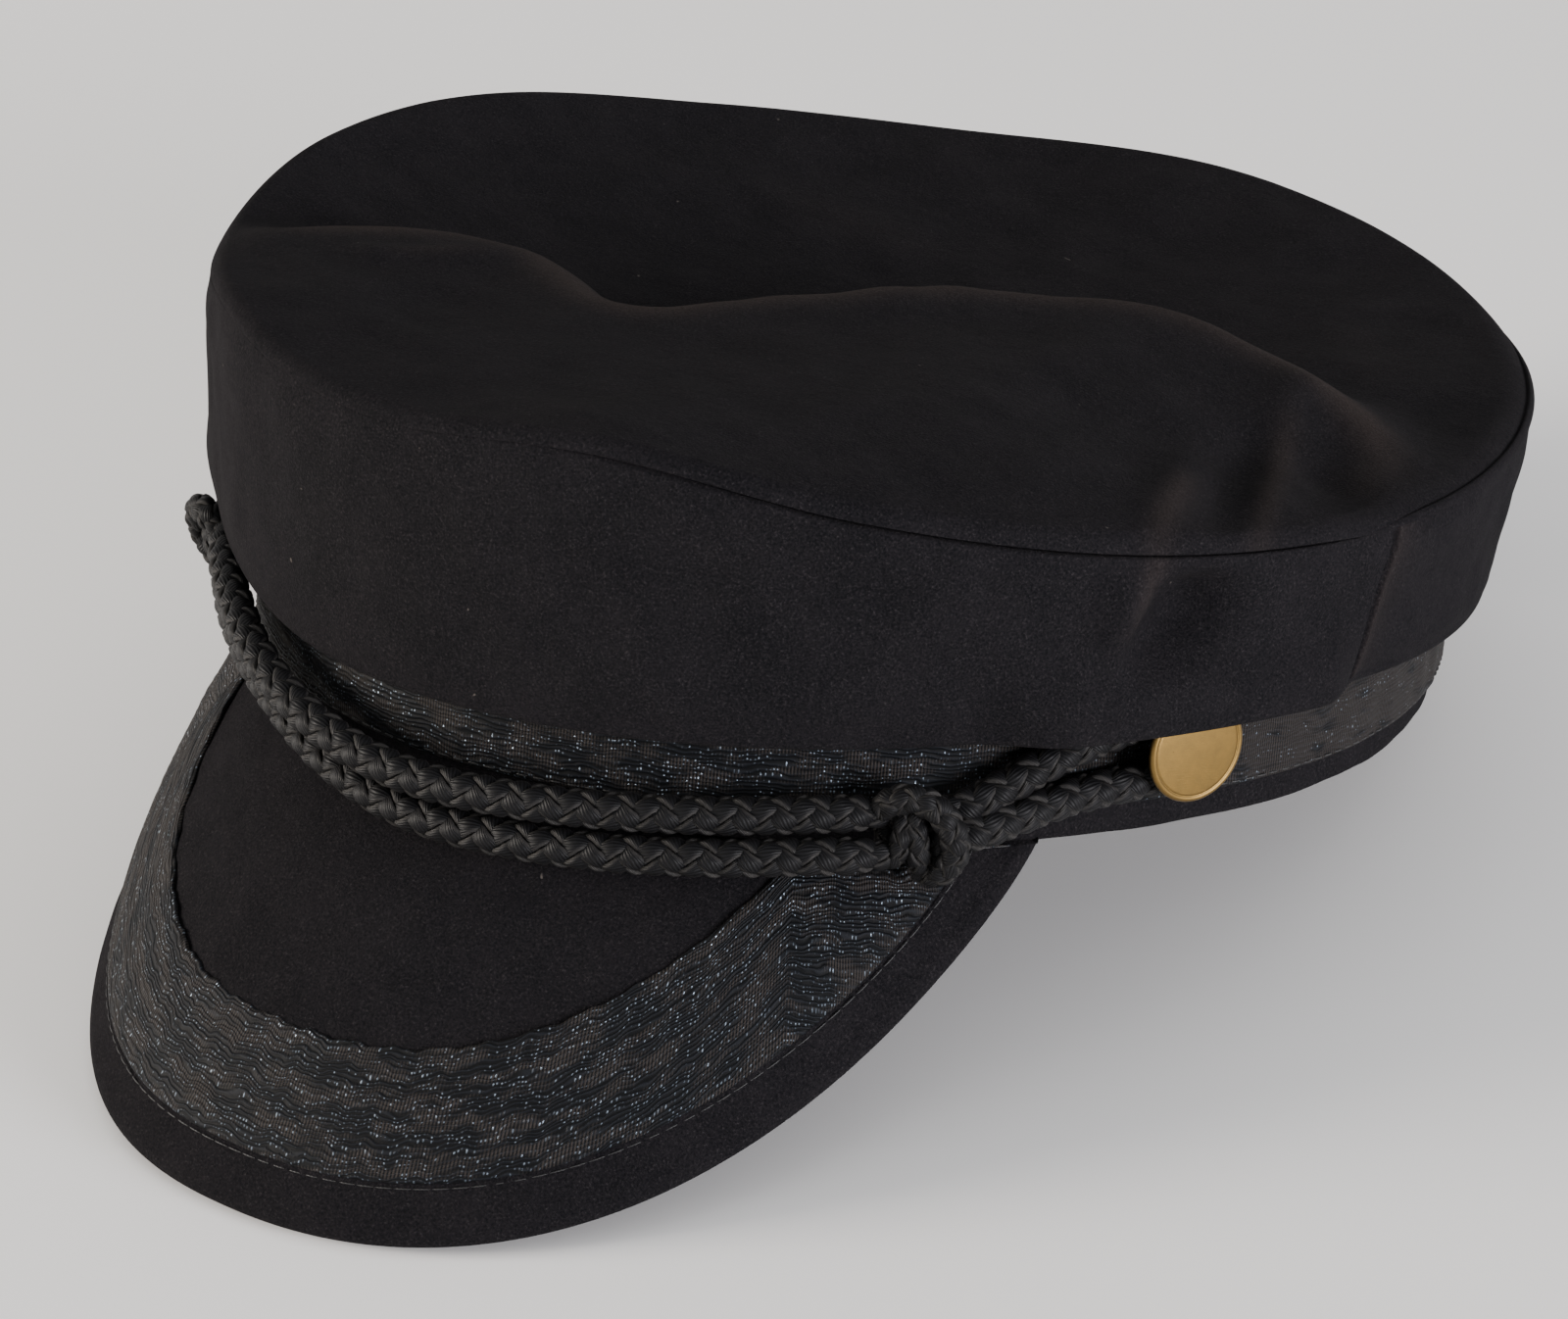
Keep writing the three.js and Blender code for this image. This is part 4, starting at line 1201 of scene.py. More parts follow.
        # Round the fold: a quarter turn down its inner side, then one up its outer side.
        middle = hem - self.wall * 0.5
        inside = (middle - 0.5 * self.wall * np.cos(turn), bottom - 0.75 * self.wall * np.sin(turn))
        outside = (middle + 0.5 * self.wall * np.sin(turn), bottom - 0.75 * self.wall * np.cos(turn))
        rise = np.linspace(0, 1, 44)[None, 1:]
        out = self.wall_out(a, rise)
        height = lerp(bottom, rim, rise)
        spot = OUTLINE.around(a, out, height)
        # Beside each seam line the cloth behind it stands proud and sinks away in some 5 mm.
        turns = [degrees_from(at, a) + 2.2 * (1 - rise) for at in self.seam_azimuths]
        groove = sum(np.exp(-((turn / 0.22) ** 2)) for turn in turns)
        proud = sum(smooth(0.1, 0.5, turn) * np.exp(-np.clip(turn, 0, 9) / 1.6) for turn in turns)
        wave = 0.38 * drift(spot, 38.0, 11) + 0.14 * drift(spot, 12.0, 12)
        out = out + wave * smooth(0, 0.15, rise) * smooth(1, 0.9, rise) - 0.45 * groove + 0.5 * proud
        # Painted highlight, in the brown-grey of rubbed nap, along the proud edge and down the sharp ridge
        # that meets the rim.
        sharp = [d for d in self.dents if d[4] < 0 and d[2] < 4]
        slant = [(a - place - 1 - 4 * (rise - level)) / 1.1 for place, level, *_ in sharp]
        ridge = sum(np.exp(-(turn**2) - ((rise - 0.86) / 0.26) ** 2) for turn in slant)
        side_highlight = np.clip(0.32 * proud + 0.26 * ridge, 0, 1)
        # The rim rolls over and down into the seam under the top panel's edge; in front the
        # seam is drawn tight and its groove is nearly full.
        roll = np.linspace(0, math.pi / 2, 6)[None, 1:]
        rim_out = self.wall_out(a, np.ones(1))
        full = smooth(46, 12, np.abs(a + 10)) + 1.2 * self.gape(a)
        rim_in = rim_out + 0.5 * self.gape(a) - 1.0
        top = (rim_in + np.cos(roll), rim - 0.25 + (0.25 + full) * np.sin(roll))
        back = np.linspace(1, 0, 12)[None]
        low = np.maximum(bottom + self.wall, self.band_height - 1.5 * self.wall)
        down = lerp(low, rim - self.wall, back)
        back_rise = np.clip((down - bottom) / (rim - bottom), 0, 1)
        inner_face = (self.wall_out(a, back_rise) - self.wall, down)
        parts = [*start, inside, outside, (out, height), top, inner_face]
        both = [np.broadcast_arrays(p[0] + 0 * a, p[1] + 0 * a) for p in parts]
        rubbed = np.hstack([side_highlight if p[0] is out else 0 * b[0] for p, b in zip(parts, both)])
        outs, heights = (np.hstack(part) for part in zip(*both))
        return OUTLINE.around(a, outs, heights), rubbed

    def build_side(self, steps: int = 420) -> bpy.types.Object:
        """The side wall, swept round the head.

        Args:
            steps: Places round the head.

        Returns:
            The object.
        """
        azimuth, run = OUTLINE.ring(steps, self.seam_azimuths)
        points, rubbed = self.side_section(azimuth)
        around = lengths_along(points[0])
        patch = ring_patch(points, run, np.append(around, around[-1] + 2.0))
        # Painted highlight on the outer wall, along the seam edges and the dent's ridge.
        patch.rubbed = rubbed.ravel()
        return make_piece("crown_side_wall", patch, WOOL, "wool", "crown_side")


@dataclass
class HeadBand:
    """The wool band round the head and the ribbon sewn over it."""

    wall: float = 2.4
    height: float = 29.0
    strip: float = 4.5
    ribbon_width: float = 20.5
    ribbon_thickness: float = 1.0

    def build_band(self, steps: int = 360) -> bpy.types.Object:
        """The wool band: a section with a rounded lower edge, swept round the head.

        Args:
            steps: Places round the head.

        Returns:
            The object.
        """
        azimuth, run = OUTLINE.ring(steps)
        turn = np.linspace(0, math.pi, 13)
        half = self.wall / 2
        out = np.concatenate([np.zeros(12), [-self.wall] * 12, -half - half * np.cos(turn[1:-1])])
        level = np.concatenate([
            np.linspace(half, self.height, 12),
            np.linspace(self.height, half, 12),
            half - half * np.sin(turn[1:-1]),
        ])
        a = azimuth[:, None]
        points = OUTLINE.around(a, out[None], level[None])
        low = smooth(self.strip + 1, self.strip - 1, level)[None]
        push = low * (0.12 * drift(points, 21.0, 21) + 0.05 * drift(points, 7.0, 22))
        points = OUTLINE.around(a, out[None] + push, level[None])
        patch = ring_patch(points, run, np.append(lengths_along(points[0]), 62.0))
        return make_piece("head_band_wool", patch, WOOL, "wool", "headband")

    def build_ribbon(self, steps: int = 1300) -> bpy.types.Object:
        """The ribbon: thread rows that stand 0.04 mm proud and wander, on a slightly crinkled
        strip whose edges turn in to the band.

        Args:
            steps: Places round the head.

        Returns:
            The object.
        """
        azimuth, run = OUTLINE.ring(steps)
        rows = 38
        share = np.linspace(0, 1, rows)
        level = self.strip + self.ribbon_width * share
        thick = self.ribbon_thickness - 0.1
        edge = np.minimum(share, 1 - share) * self.ribbon_width
        lift = CLEARANCE + thick * rounded(edge, RIBBON_EDGE)
        a = azimuth[:, None]
        flat = OUTLINE.around(a, 0.0, level[None])
        wander = 0.5 * drift(flat * np.array([1, 1, 2.0]), 17.0, 31)
        relief = thread_rows(level[None] + wander)
        loose = lerp(0.08, 0.24, smooth(55, 100, np.abs(a)))
        crinkle = loose * drift(flat * np.array([1, 1, 0.3]), 9.0, 32)
        calm = smooth(0, 1.4, edge)[None]
        face = OUTLINE.around(a, lift[None] + calm * (relief + crinkle), level[None])
        back_level = np.linspace(level[-1], level[0], 4)
        back = OUTLINE.around(a, CLEARANCE * 0.3 + 0 * back_level[None], back_level[None])
        points = np.concatenate([face, back], 1)
        v = np.concatenate([level - self.strip, np.linspace(self.ribbon_width, 0, 5) + 0.2])
        patch = ring_patch(points, run, v)
        return make_piece("band_ribbon_cloth", patch, RIBBON, "ribbon", "band_ribbon")

    def build_stitches(self) -> bpy.types.Object:
        """The stitch row along the ribbon's lower edge.

        Returns:
            The object.
        """
        azimuth = np.linspace(-180, 180, 1500)
        line = OUTLINE.around(azimuth, CLEARANCE + 0.75, self.strip + 0.9)
        patch = StitchRow(length=1.9, gap=0.6, radius=0.15).along(line, OUTLINE.outward(line))
        return make_piece("band_ribbon_stitches", patch, THREAD, "ribbon")


@dataclass
class Peak:
    """The short steep peak with the ribbon sewn round it."""

    corner: float = 57.3
    reach: float = 36.2
    drop: float = 52.8
    side_drop: float = 15.8
    bulge: float = 4.0
    thickness: float = 2.8
    ribbon_margin: float = 8.5
    ribbon_width: float = 18.0
    ribbon_thickness: float = 0.5
    corner_share: float = 0.975

    def edge(self, across: Array) -> Array:
        """The peak's outer edge, from one corner (-1) to the other (1): x by a power of the
        angle's sine, y and z by powers of its cosine.

        Args:
            across: Place from one corner of the peak (-1) to the other (1).

        Returns:
            Points, one for each place.
        """
        corner = OUTLINE.around(np.array(self.corner), 0.0, 0.0)
        angle = across * math.pi / 2
        forward = OUTLINE.length / 2 + self.reach + corner[1]
        return stacked(
            corner[0] * signed_power(np.sin(angle), 0.90),
            corner[1] - forward * np.abs(np.cos(angle)) ** 1.12,
            -(self.drop + self.side_drop * np.sin(angle) ** 2) * np.cos(angle),
        )

    def surface(self, across: Array, reach: Array) -> Array:
        """Points from the band (reach 0) to the edge (reach 1), with a crown of 4r(1 - r) that
        bulges outward and up.

        Args:
            across: Place from one corner of the peak (-1) to the other (1).
            reach: Share of the way from the band to the edge.

        Returns:
            Points in the shape that both arguments broadcast to.
        """
        base = OUTLINE.around(across * self.corner, CLEARANCE, -0.2)
        bulge = self.bulge * 4 * reach * (1 - reach) * (1 - np.abs(across) ** 3)
        out = unit(base * np.array([1.0, 1.0, 0.0]))
        return lerp(base, self.edge(across), reach[..., None]) + bulge[..., None] * (0.6 * out + 0.8 * UP)

    def frame_at(self, across: Array, reach: Array) -> tuple[Array, Array]:
        """Points of the surface and its unit normals, from the differences of near points.

        Args:
            across: Place from one corner of the peak (-1) to the other (1).
            reach: Share of the way from the band to the edge.

        Returns:
            The points and the normals.
        """
        step = 0.004
        near = np.clip(reach, step, 1 - step)
        sideways = self.surface(across + step, near) - self.surface(across - step, near)
        forward = self.surface(across, near + step) - self.surface(across, near - step)
        return self.surface(across, reach), unit(np.cross(forward, sideways))

    def reach_at_margin(self, across: Array, margin: float) -> Array:
        """How far out the line lies that keeps this margin from the edge, by halving.

        Args:
            across: Place from one corner of the peak (-1) to the other (1).
            margin: Millimetres from the edge.

        Returns:
            The reach, one for each place.
        """
        line = self.edge(np.linspace(-1, 1, 321))
        low, high = np.full(across.shape, 0.03), np.ones(across.shape)
        for _ in range(16):
            middle = (low + high) / 2
            point = self.surface(across, middle)
            away = np.linalg.norm(point[:, None] - line[None], axis=-1).min(1)
            low, high = np.where(away > margin, middle, low), np.where(away > margin, high, middle)
        return high

    def build_body(self, columns: int = 260, rows: int = 90) -> bpy.types.Object:
        """The peak's body: upper and lower faces whose edges roll together round the rim.

        Args:
            columns: Places across the peak.
            rows: Places from the band to the edge.

        Returns:
            The object.
        """
        u = np.sin(np.linspace(-math.pi / 2, math.pi / 2, columns)) * 0.998
        v = np.sin(np.linspace(0, math.pi / 2, rows))
        across, reach = np.meshgrid(u, v, indexing="ij")
        point, normal = self.frame_at(across, reach)
        thick = self.thickness * (0.3 + 0.7 * smooth(1, 0.8, np.abs(across)))
        root = OUTLINE.around(u * self.corner, CLEARANCE, -0.2)
        span = np.linalg.norm(self.edge(u) - root, axis=-1)[:, None]
        away = (1 - reach) * span
        half = thick / 2
        round_off = half * (1 - rounded(away, 1.3 * half))
        calm = smooth(0.0, 6.0, away) * smooth(0.0, 0.15, reach)
        wave = calm * (0.22 * drift(point, 26.0, 41) + 0.08 * drift(point, 9.0, 42))
        # The margin outside the ribbon is turned over the board, a little thicker at its edge.
        hem = 0.25 * np.exp(-(((away - 2.6) / 1.6) ** 2))
        # The root is tucked in under the band, as it is sewn there.
        tuck = smooth(0.05, 0.0, reach)[..., None] * (0.5 * UP - 1.3 * OUTLINE.outward(point))
        top = point + tuck + normal * (wave + hem - round_off)[..., None]
        bottom = point + tuck - normal * (thick - round_off)[..., None]
        uv = np.stack([across * 90.0, away], -1)
        return make_piece("peak_body", sheet_patch(top, bottom, uv), WOOL, "wool", "peak")

    def build_ribbon(self, columns: int = 420, rows: int = 64) -> bpy.types.Object:
        """The ribbon round the peak: wandering thread rows and long leaf-shaped raised fields,
        between two margins from the edge, its inner edge gently scalloped.

        Args:
            columns: Places along the ribbon.
            rows: Places across it.

        Returns:
            The object.
        """
        u = np.linspace(-1, 1, columns)[1:-1] * self.corner_share * 0.985
        outer = self.reach_at_margin(u, self.ribbon_margin)
        scallop = 0.22 * np.sin(2 * math.pi * u * 17) + 0.12 * np.sin(2 * math.pi * u * 41 + 1.0)
        inner = self.reach_at_margin(u, self.ribbon_margin + self.ribbon_width)
        inner = np.minimum(inner, outer - 0.04)
        inner = inner + scallop / 70.0 * smooth(0.95, 0.8, np.abs(u))
        share = np.sin(np.linspace(-math.pi / 2, math.pi / 2, rows)) * 0.5 + 0.5
        share = lerp(share, np.linspace(0, 1, rows), 0.75)
        reach = lerp(inner[:, None], outer[:, None], share[None])
        across = np.broadcast_to(u[:, None], reach.shape)
        point, normal = self.frame_at(across, reach)
        run = lengths_along(self.edge(u))[:, None] * 0.86
        width = np.linalg.norm(point[:, -1] - point[:, 0], axis=-1)[:, None]
        depth = share[None] * width
        edge = np.minimum(depth, width - depth)
        place = stacked(run + 0 * depth, depth, 0.0)
        wander = 0.7 * drift(place * np.array([0.5, 1, 1]), 9.0, 51)
        relief = thread_rows(depth + wander)
        leaf = 0.09 * drift(place * np.array([0.35, 1, 1]), 8.0, 52)
        calm = smooth(0.2, 1.6, edge)
        lift = 0.12 + (self.ribbon_thickness - 0.1) * rounded(edge, RIBBON_EDGE)
        top = point + normal * (lift + calm * (relief + leaf) + 0.15)[..., None]
        bottom = point + normal * 0.1
        uv = np.stack([run + 0 * depth, depth], -1)
        return make_piece("peak_ribbon_cloth", sheet_patch(top, bottom, uv), RIBBON, "ribbon", "peak_ribbon")

    def build_stitches(self) -> bpy.types.Object:
        """The fine stitch row just outside the ribbon's outer edge.

        Returns:
            The object.
        """
        u = np.linspace(-0.955, 0.955, 500)
        line, normal = self.frame_at(u, self.reach_at_margin(u, self.ribbon_margin - 0.7))
        patch = StitchRow(length=2.5, gap=0.15, radius=0.11).along(line + normal * 0.12, normal)
        return make_piece("peak_stitches", patch, THREAD, "ribbon")


@dataclass(frozen=True)
class Braid:
    """Round braid of eight yarns, four each way, one over and one under."""

    diameter: float = 5.4
    pitch: float = 20.5
    yarn_wide: float = 2.6
    yarn_thick: float = 1.2
    sides: int = 10

    def along(self, path: Array, outward: Array, squeeze: Array | float = 1.0) -> Patch:
        """The yarns laid round a line.

        A yarn's angle round the line is its start angle plus or minus a turn for each pitch,
        and its distance from it swings by cos(8*pi*s/pitch), up for one hand of yarns where it
        is down for the other. Its section is a flat oval, set across its own direction.

        Args:
            path: N x 3 points of the line, with equal steps.
            outward: N x 3 directions that the sections are turned by.
            squeeze: Share of the full size at each point, for where a braid is pulled tight.

        Returns:
            One patch with the eight yarns.
        """
        run = lengths_along(path)
        tangent = unit(np.gradient(path, axis=0))
        across = unit(outward - (outward * tangent).sum(-1, keepdims=True) * tangent)
        side = np.cross(tangent, across)
        hand = np.repeat([1.0, -1.0], 4)[:, None]
        start = np.tile(np.arange(4) * math.pi / 2, 2)[:, None]
        angle = start + hand * 2 * math.pi * run[None] / self.pitch
        swing = 0.4 * self.yarn_thick
        middle = self.diameter / 2 - self.yarn_thick / 2 - swing
        size = np.broadcast_to(np.asarray(squeeze, float), run.shape)
        radius = (middle + hand * swing * np.cos(8 * math.pi * run[None] / self.pitch)) * size
        radial = np.cos(angle)[..., None] * across + np.sin(angle)[..., None] * side
        centre = path[None] + radial * radius[..., None]
        forward = unit(np.gradient(centre, axis=1))
        wide = unit(np.cross(forward, radial))
        thin = unit(np.cross(wide, forward))
        turn = np.linspace(0, 2 * math.pi, self.sides, endpoint=False)
        flat_wide = signed_power(np.cos(turn), 0.75) * self.yarn_wide / 2
        flat_thin = signed_power(np.sin(turn), 0.9) * self.yarn_thick / 2
        section = wide[:, :, None] * flat_wide[:, None] + thin[:, :, None] * flat_thin[:, None]
        points = centre[:, :, None] + section * size[None, :, None, None]
        u = np.broadcast_to(run[None], hand.shape[:1] + run.shape) * 1.15
        return tube_patch(points, u, np.linspace(0, 1, self.sides + 1))


@dataclass
class CordSet:
    """The pair of braided cords across the front, their knots and the loops to the buttons."""

    diameter: float = 5.4
    knot_azimuth: float = 46.0
    button_azimuth: float = 68.0
    button_height: float = 14.6
    shank: float = 3.2
    ribbon_face: float = 1.3
    tight: float = 0.72
    tight_length: float = 7.0
    rows: tuple[tuple[float, float, float, float], ...] = (
        (-1.00, 2.52, 1.06, -6), (-0.65, 1.94, 1.12, -14), (-0.40, 1.32, 1.30, -24),
        (-0.18, 0.72, 1.46, -20), (0.08, 0.32, 1.60, -10), (0.35, 0.35, 1.60, 4),
        (0.62, 0.57, 1.54, 18), (0.85, 0.80, 1.38, 20), (1.00, 0.86, 1.20, 16),
    )

    @property
    def pitch(self) -> float:
        """Distance between the middles of the two cords."""
        return self.diameter + CLEARANCE

    @property
    def seat(self) -> float:
        """How far the middle of a cord that lies on the ribbon stands off the band."""
        return self.ribbon_face + CLEARANCE + self.diameter / 2

    @property
    def knot_size(self) -> tuple[float, float, float]:
        """A knot's length along the cords, its height and its depth."""
        return 2.04 * self.diameter, 2.3 * self.diameter, 1.63 * self.diameter

    def row(self, column: int, share: Array) -> Array:
        """One column of the rows at a share of the way to the knots."""
        rows = np.array(self.rows)
        return through(rows[:, 0], rows[:, column], share)

    def strand(self, share: Array, strand: Strand) -> Array:
        """Middle line of a cord: half the pitch from the pair's own middle, along its lean.

        Args:
            share: Place from one knot (-1) to the other (1).
            strand: Which of the two cords.

        Returns:
            Points, one for each share.
        """
        lean = np.radians(self.row(3, share))
        half = strand.value * self.pitch / 2
        out = self.diameter * self.row(2, share) - half * np.sin(lean)
        height = self.diameter * self.row(1, share) + half * np.cos(lean)
        return OUTLINE.around(share * self.knot_azimuth, out, height)

    def knot_place(self, side: Side) -> tuple[float, float, float]:
        """A knot's height, stand-off and lean.

        Args:
            side: Which of the two knots.

        Returns:
            Two lengths in millimetres and an angle in radians.
        """
        seat = self.ribbon_face + CLEARANCE + self.knot_size[2] / 2
        share = np.array(float(side.value))
        out = max(float(self.diameter * self.row(2, share)), seat)
        return float(self.diameter * self.row(1, share)), out, math.radians(float(self.row(3, share)))

    def knot_end(self) -> float:
        """Degrees from a knot's middle to its end."""
        return (self.knot_size[0] / 2 + 2 * CLEARANCE) / OUTLINE.stride(self.knot_azimuth, self.seat)

    def lay(self, name: str, path: Array, node: str) -> bpy.types.Object:
        """A braid along a path that is pulled tight toward both ends.

        Args:
            name: The object's name.
            path: Its middle line.
            node: The CAD node that it stands for.

        Returns:
            The object.
        """
        run = lengths_along(path)
        near_end = np.minimum(run, run[::-1])
        squeeze = lerp(self.tight, 1.0, smooth(0.0, self.tight_length, near_end))
        patch = Braid().along(path, OUTLINE.outward(path), squeeze)
        return make_piece(name, patch, CORD, "cord", node)

    def build_front(self) -> None:
        """The two cords between the knots."""
        limit = 1 - 0.55 * self.knot_end() / self.knot_azimuth
        for strand in Strand:
            name = strand.name.lower()
            path = evenly(self.strand(np.linspace(-limit, limit, 60), strand), 420)
            self.lay(f"braided_cord_{name}", path, f"cord_{name}")

    def loop_path(self, side: Side) -> Array:
        """Middle line of a loop: from the knot over the button's shank and back.

        Args:
            side: Which of the two loops.

        Returns:
            The line, 260 points.
        """
        radius = self.shank / 2 + CLEARANCE + self.diameter / 2
        stride = OUTLINE.stride(self.button_azimuth, self.seat)
        height, out, lean = self.knot_place(side)
        start = (self.knot_azimuth + 0.3 * self.knot_end() - self.button_azimuth) * stride

        def leg(sign: int) -> list[tuple[float, float, float]]:
            """Places of one leg: along the band, up from the shank, and out.

            Args:
                sign: 1 for the leg over the shank, -1 for the one under it.

            Returns:
                Three places in millimetres.
            """
            end_up = height + 0.8 + sign * 0.26 * self.pitch * math.cos(lean) - self.button_height
            end_out = max(out - sign * 0.5 * self.pitch * math.sin(lean), self.seat)
            return [
                (start, end_up, end_out),
                (start * 0.86, lerp(end_up, sign * radius, 0.10), end_out),
                (start * 0.45, lerp(end_up, sign * radius, 0.66), self.seat),
            ]

        angle = np.linspace(math.pi / 2, -math.pi / 2, 7)
        bend = np.stack([radius * np.cos(angle), radius * np.sin(angle), np.full(7, self.seat)], -1)
        places = np.vstack([leg(1), bend, leg(-1)[::-1]])
        azimuth = side.value * (self.button_azimuth + places[:, 0] / stride)
        return flowing_line(OUTLINE.around(azimuth, places[:, 2], self.button_height + places[:, 1]), 260)

    def build_loops(self) -> None:
        """The cord's loop from each knot round its button's shank."""
        for side in Side:
            name = side.name.lower()
            self.lay(f"braided_loop_{name}", self.loop_path(side), f"cord_loop_{name}")

    def build_knots(self) -> None:
        """Each knot: close turns round the pair, highest in the middle, and a strap of the same
        cord that comes over the top, round the front and in again under the far lower corner.

        A turn is an oval round the knot's length, whose place along it swings with the turn's
        own angle, so that the turns lie aslant.
        """
        size = np.array(self.knot_size)
        turns = ((-0.27, 0.16, 0.62, 0.86), (0.00, -0.12, 0.66, 1.0), (0.27, 0.10, 0.62, 0.88))
        # Places of the strap: along the knot, up and out, as shares of its sizes.
        strap = np.array([
            (-0.60, 0.18, 0.00), (-0.42, 0.36, 0.26), (-0.14, 0.42, 0.44), (0.16, 0.30, 0.56),
            (0.38, 0.04, 0.56), (0.44, -0.24, 0.42), (0.30, -0.46, 0.14), (0.06, -0.50, -0.18),
        ])
        for side in Side:
            name = side.name.lower()
            height, out, lean = self.knot_place(side)
            along, outward = OUTLINE.axes(side.value * self.knot_azimuth)
            up = math.cos(lean) * UP - math.sin(lean) * outward
            front = math.cos(lean) * outward + math.sin(lean) * UP
            axes = np.stack([side.value * along, up, front])
            centre = OUTLINE.around(np.array(side.value * self.knot_azimuth), out, height)
            patches = []
            for place, slant, share, bulge in turns:
                angle = np.linspace(0, 2 * math.pi, 181)
                thick = self.diameter * share
                reach = (0.94 * size[1:] * bulge - thick) / 2
                shift = size[0] * (place + slant * 0.5 * np.sin(angle + 0.6))
                oval = [shift, reach[0] * np.cos(angle), reach[1] * np.sin(angle)]
                path = evenly(centre + np.stack(oval, -1) @ axes, 150)
                wide, thin = 2.6 * share, 1.05 * share
                braid = Braid(diameter=thick, pitch=13.0, yarn_wide=wide, yarn_thick=thin)
                patches.append(braid.along(path, unit(path - centre)))
            path = centre + flowing_line(0.92 * strap * size, 120) @ axes
            ends = np.linspace(0, 1, 120)
            squeeze = lerp(0.7, 1.0, smooth(0, 0.16, np.minimum(ends, 1 - ends)))
            braid = Braid(diameter=4.3, pitch=14.0, yarn_wide=2.2, yarn_thick=0.95)
            patches.append(braid.along(path, unit(path - centre), squeeze))
            make_piece(f"cord_knot_{name}", Patch.joined(patches), CORD, "cord", f"knot_{name}")


@dataclass
class Button:
    """A plain brass button on its shank, turned about the line out of the band."""

    azimuth: float = 68.0
    height: float = 14.6
    diameter: float = 15.5
    thickness: float = 1.2
    shank: float = 3.2
    back: float = 7.3
    ribbon_face: float = 1.3

    def profile(self) -> Array:
        """Radius and height of the button's section, from the shank's foot to the middle of
        the face: a dished back, a rolled rim 0.5 mm wide and a faintly domed face.

        Returns:
            Rows of radius and height.
        """
        radius = self.diameter / 2
        foot = -(self.back - self.ribbon_face - CLEARANCE)
        turn = np.linspace(-math.pi / 2, math.pi / 2, 13)
        half = self.thickness / 2
        rim = np.stack([radius - half + half * np.cos(turn), half + half * np.sin(turn)], -1)
        inner = np.linspace(radius - 1.0, 0, 26)
        face = np.stack([inner, self.thickness * 0.84 + 0.25 * (1 - (inner / radius) ** 2)], -1)
        groove = np.array([[radius - 0.85, self.thickness * 0.93], [radius - 0.95, self.thickness * 0.84]])
        post = self.shank / 2
        shank = np.array([[0, foot], [post, foot], [post, -0.5], [post + 0.5, 0]])
        return np.vstack([shank, [[radius - 1.2, 0.0]], rim, groove, face])

    def build(self, side: Side, steps: int = 96) -> bpy.types.Object:
        """The button on one side: its profile turned round.

        Args:
            side: Which of the two buttons.
            steps: Places round the button.

        Returns:
            The object.
        """
        along, outward = OUTLINE.axes(side.value * self.azimuth)
        centre = OUTLINE.around(np.array(side.value * self.azimuth), self.back, self.height)
        angle = np.linspace(0, 2 * math.pi, steps, endpoint=False)
        radius, level = self.profile().T
        ring = np.cos(angle)[:, None] * along + np.sin(angle)[:, None] * UP
        points = centre + radius[:, None, None] * ring + level[:, None, None] * outward
        cells = grid_corners(len(radius) - 1, steps)
        faces = cells[..., 0] * steps + cells[..., 1] % steps
        flat = radius[:, None, None] * np.stack([np.cos(angle), np.sin(angle)], -1)
        patch = Patch(points.reshape(-1, 3), faces, flat.reshape(-1, 2)[faces])
        name = side.name.lower()
        return make_piece(f"brass_button_{name}", patch, BRASS, "brass", f"button_{name}")


def place_of(spot: Array | tuple[float, float, float], right: Array, up: Array, back: Array) -> Matrix:
    """The matrix of a camera or light at a spot, from its three unit directions."""
    return Matrix.Translation(spot) @ Matrix(np.stack([right, up, back], -1).tolist()).to_4x4()


@dataclass(frozen=True)
class PhotoCamera:
    """The photograph's camera, as fitted to the cap, in the frame of the fit, which is the
    cap's own frame with its front lifted by fit_lean."""

    azimuth: float = 0.66177
    elevation: float = 0.423908
    fit_lean: float = 0.12953
    distance: float = 725.94
    scale: float = 6.61149
    middle: tuple[float, float] = (876.453, 645.091)
    image: tuple[int, int] = (1600, 1346)
    sensor: float = 36.0

    def build(self) -> bpy.types.Object:
        """The camera, with the shift that puts its axis on the fitted middle.

        Returns:
            The camera, also set as the scene's own.
        """
        th, e = self.azimuth, self.elevation
        back = np.array([math.sin(th) * math.cos(e), -math.cos(th) * math.cos(e), math.sin(e)])
        right = np.array([math.cos(th), math.sin(th), 0.0])
        turn = POSE.lean - self.fit_lean
        right, up, back = (POSE.turned(v, turn) for v in (right, np.cross(back, right), back))
        data = bpy.data.cameras.new("photo_camera")
        wide, high = self.image
        data.sensor_width = self.sensor
        data.lens = self.scale * self.distance / wide * self.sensor
        data.shift_x = -(self.middle[0] - wide / 2) / wide
        data.shift_y = -(high / 2 - self.middle[1]) / wide
        data.clip_start = 0.01
        camera = bpy.data.objects.new("photo_camera", data)
        spot = (back * self.distance + np.array(POSE.origin)) / 1000.0
        camera.matrix_world = place_of(spot, right, up, back)
        bpy.context.scene.collection.objects.link(camera)
        bpy.context.scene.camera = camera
        return camera


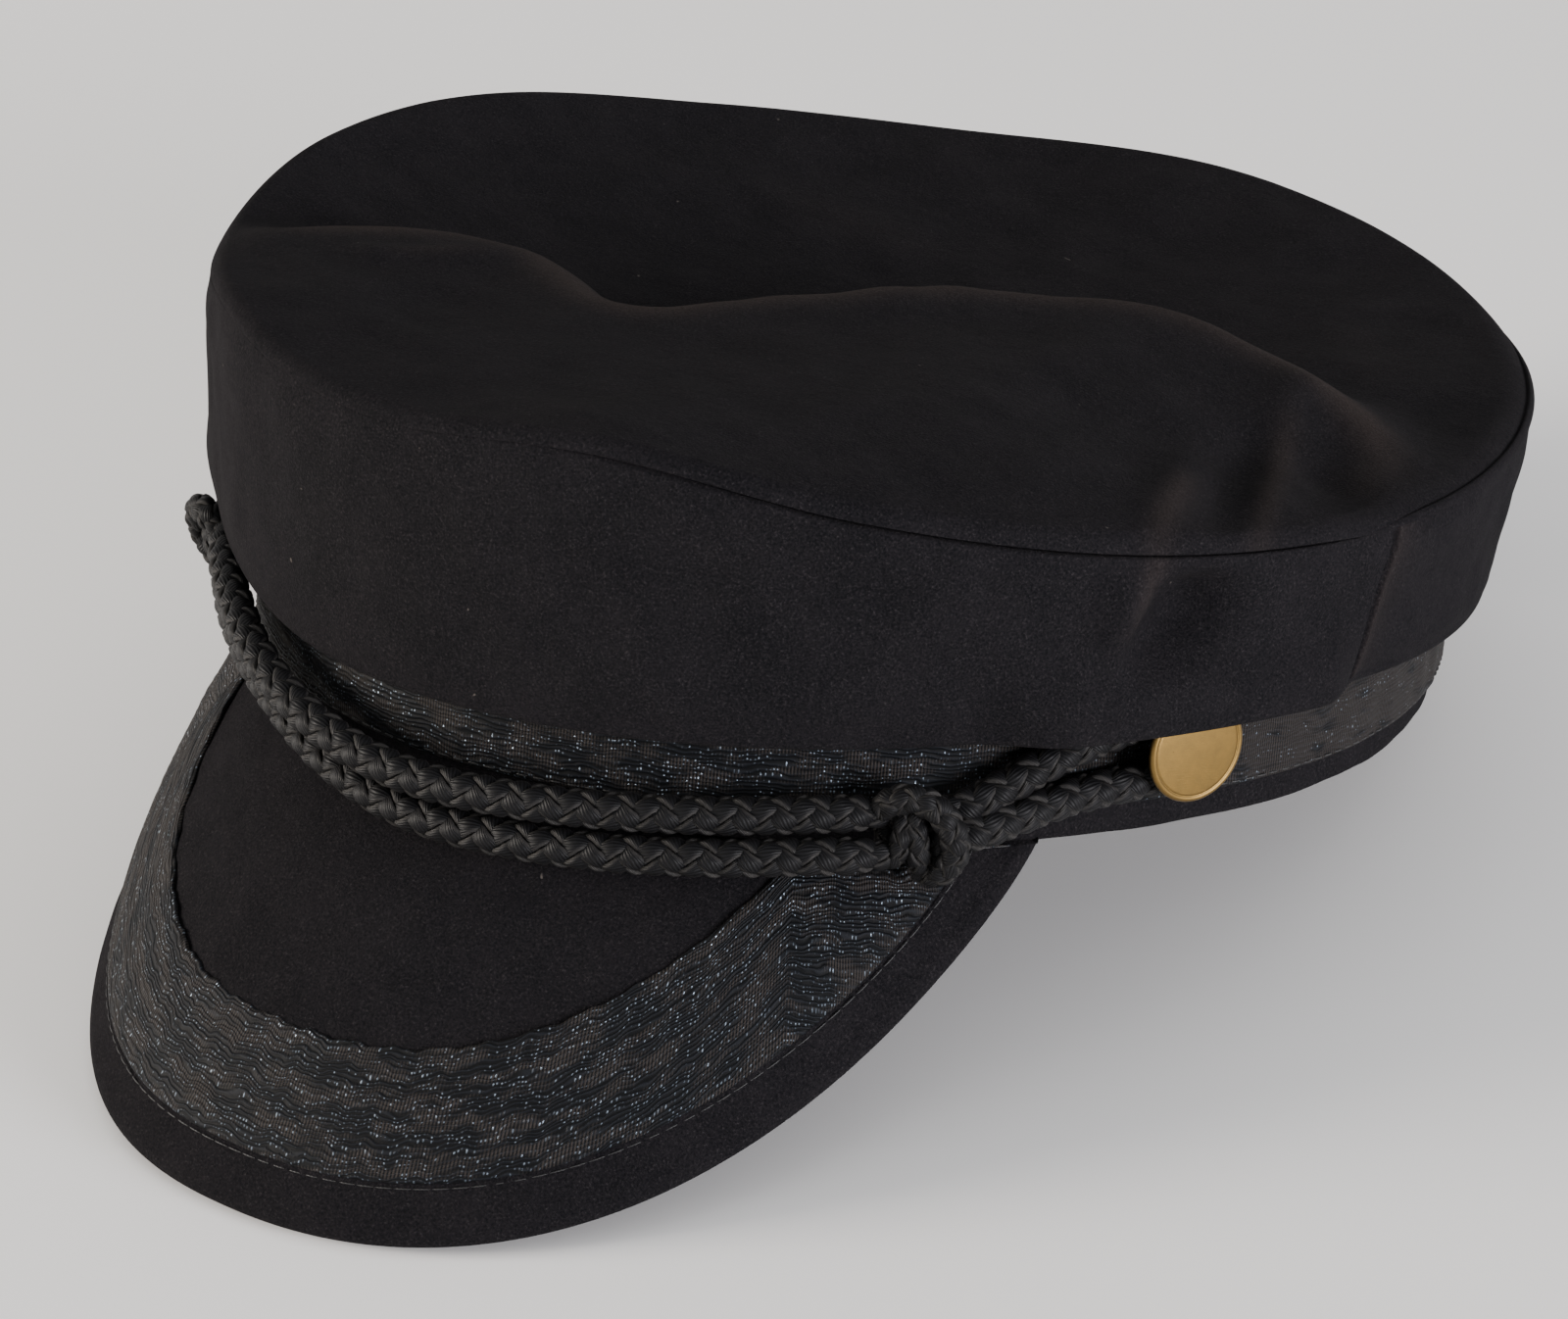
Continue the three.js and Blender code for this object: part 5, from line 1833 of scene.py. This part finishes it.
@dataclass
class Studio:
    """A pale floor, a soft key from the picture's left, a fill from its right and a top light."""

    floor_size: float = 12.0
    key_power: float = 56.0
    fill_power: float = 62.0
    top_power: float = 3.0
    world: str = "#ffffff"
    world_strength: float = 0.62

    def build_floor(self) -> bpy.types.Object:
        """The floor, one large square at height 0.

        Returns:
            The object.
        """
        half = self.floor_size / 2
        mesh = bpy.data.meshes.new("paper_floor")
        corners = [(-half, -half, 0), (half, -half, 0), (half, half, 0), (-half, half, 0)]
        mesh.from_pydata(corners, [], [(0, 1, 2, 3)])
        mesh.materials.append(PaperFloor().material())
        floor = bpy.data.objects.new("paper_floor", mesh)
        bpy.context.scene.collection.objects.link(floor)
        return floor

    def add_light(
        self, name: str, place: tuple[float, float, float], size: float, power: float, tone: str
    ) -> None:
        """Adds a square soft light that faces the cap.

        Args:
            name: The light's name.
            place: Where it hangs, in metres.
            size: The side of its square, in metres.
            power: Watts.
            tone: Its colour.
        """
        data = bpy.data.lights.new(name, "AREA")
        data.size = size
        data.energy = power
        data.color = linear(tone)[:3]
        light = bpy.data.objects.new(name, data)
        away = unit(np.array(place) - np.array([0.0, 0.0, 0.05]))
        right = unit(np.cross(UP, away))
        light.matrix_world = place_of(place, right, np.cross(away, right), away)
        bpy.context.scene.collection.objects.link(light)

    def build_lights(self) -> None:
        """The three soft lights and the even world round them."""
        self.add_light("key_softbox", (-1.35, -1.15, 0.42), 0.7, self.key_power, "#fff6ec")
        self.add_light("fill_softbox", (1.75, -0.15, 0.22), 0.8, self.fill_power, "#fbf9ff")
        self.add_light("top_softbox", (0.1, 0.5, 1.6), 1.2, self.top_power, "#ffffff")
        world = bpy.data.worlds.new("studio_world")
        world.use_nodes = True
        sky = {"Color": linear(self.world), "Strength": self.world_strength}
        connect(world.node_tree, world.node_tree.nodes["Background"], sky)
        bpy.context.scene.world = world


def main() -> None:
    """Builds the cap's sub-assemblies in order, then the camera, the floor and the lights."""
    logging.basicConfig(level=logging.INFO, format="%(name)s %(message)s")
    crown = Crown()
    crown.build_side()
    crown.build_top()
    band = HeadBand()
    band.build_band()
    band.build_ribbon()
    band.build_stitches()
    peak = Peak()
    peak.build_body()
    peak.build_ribbon()
    peak.build_stitches()
    cords = CordSet()
    cords.build_front()
    cords.build_loops()
    cords.build_knots()
    button = Button()
    for side in Side:
        button.build(side)
    PhotoCamera().build()
    studio = Studio()
    studio.build_floor()
    studio.build_lights()


if __name__ == "__main__":
    main()
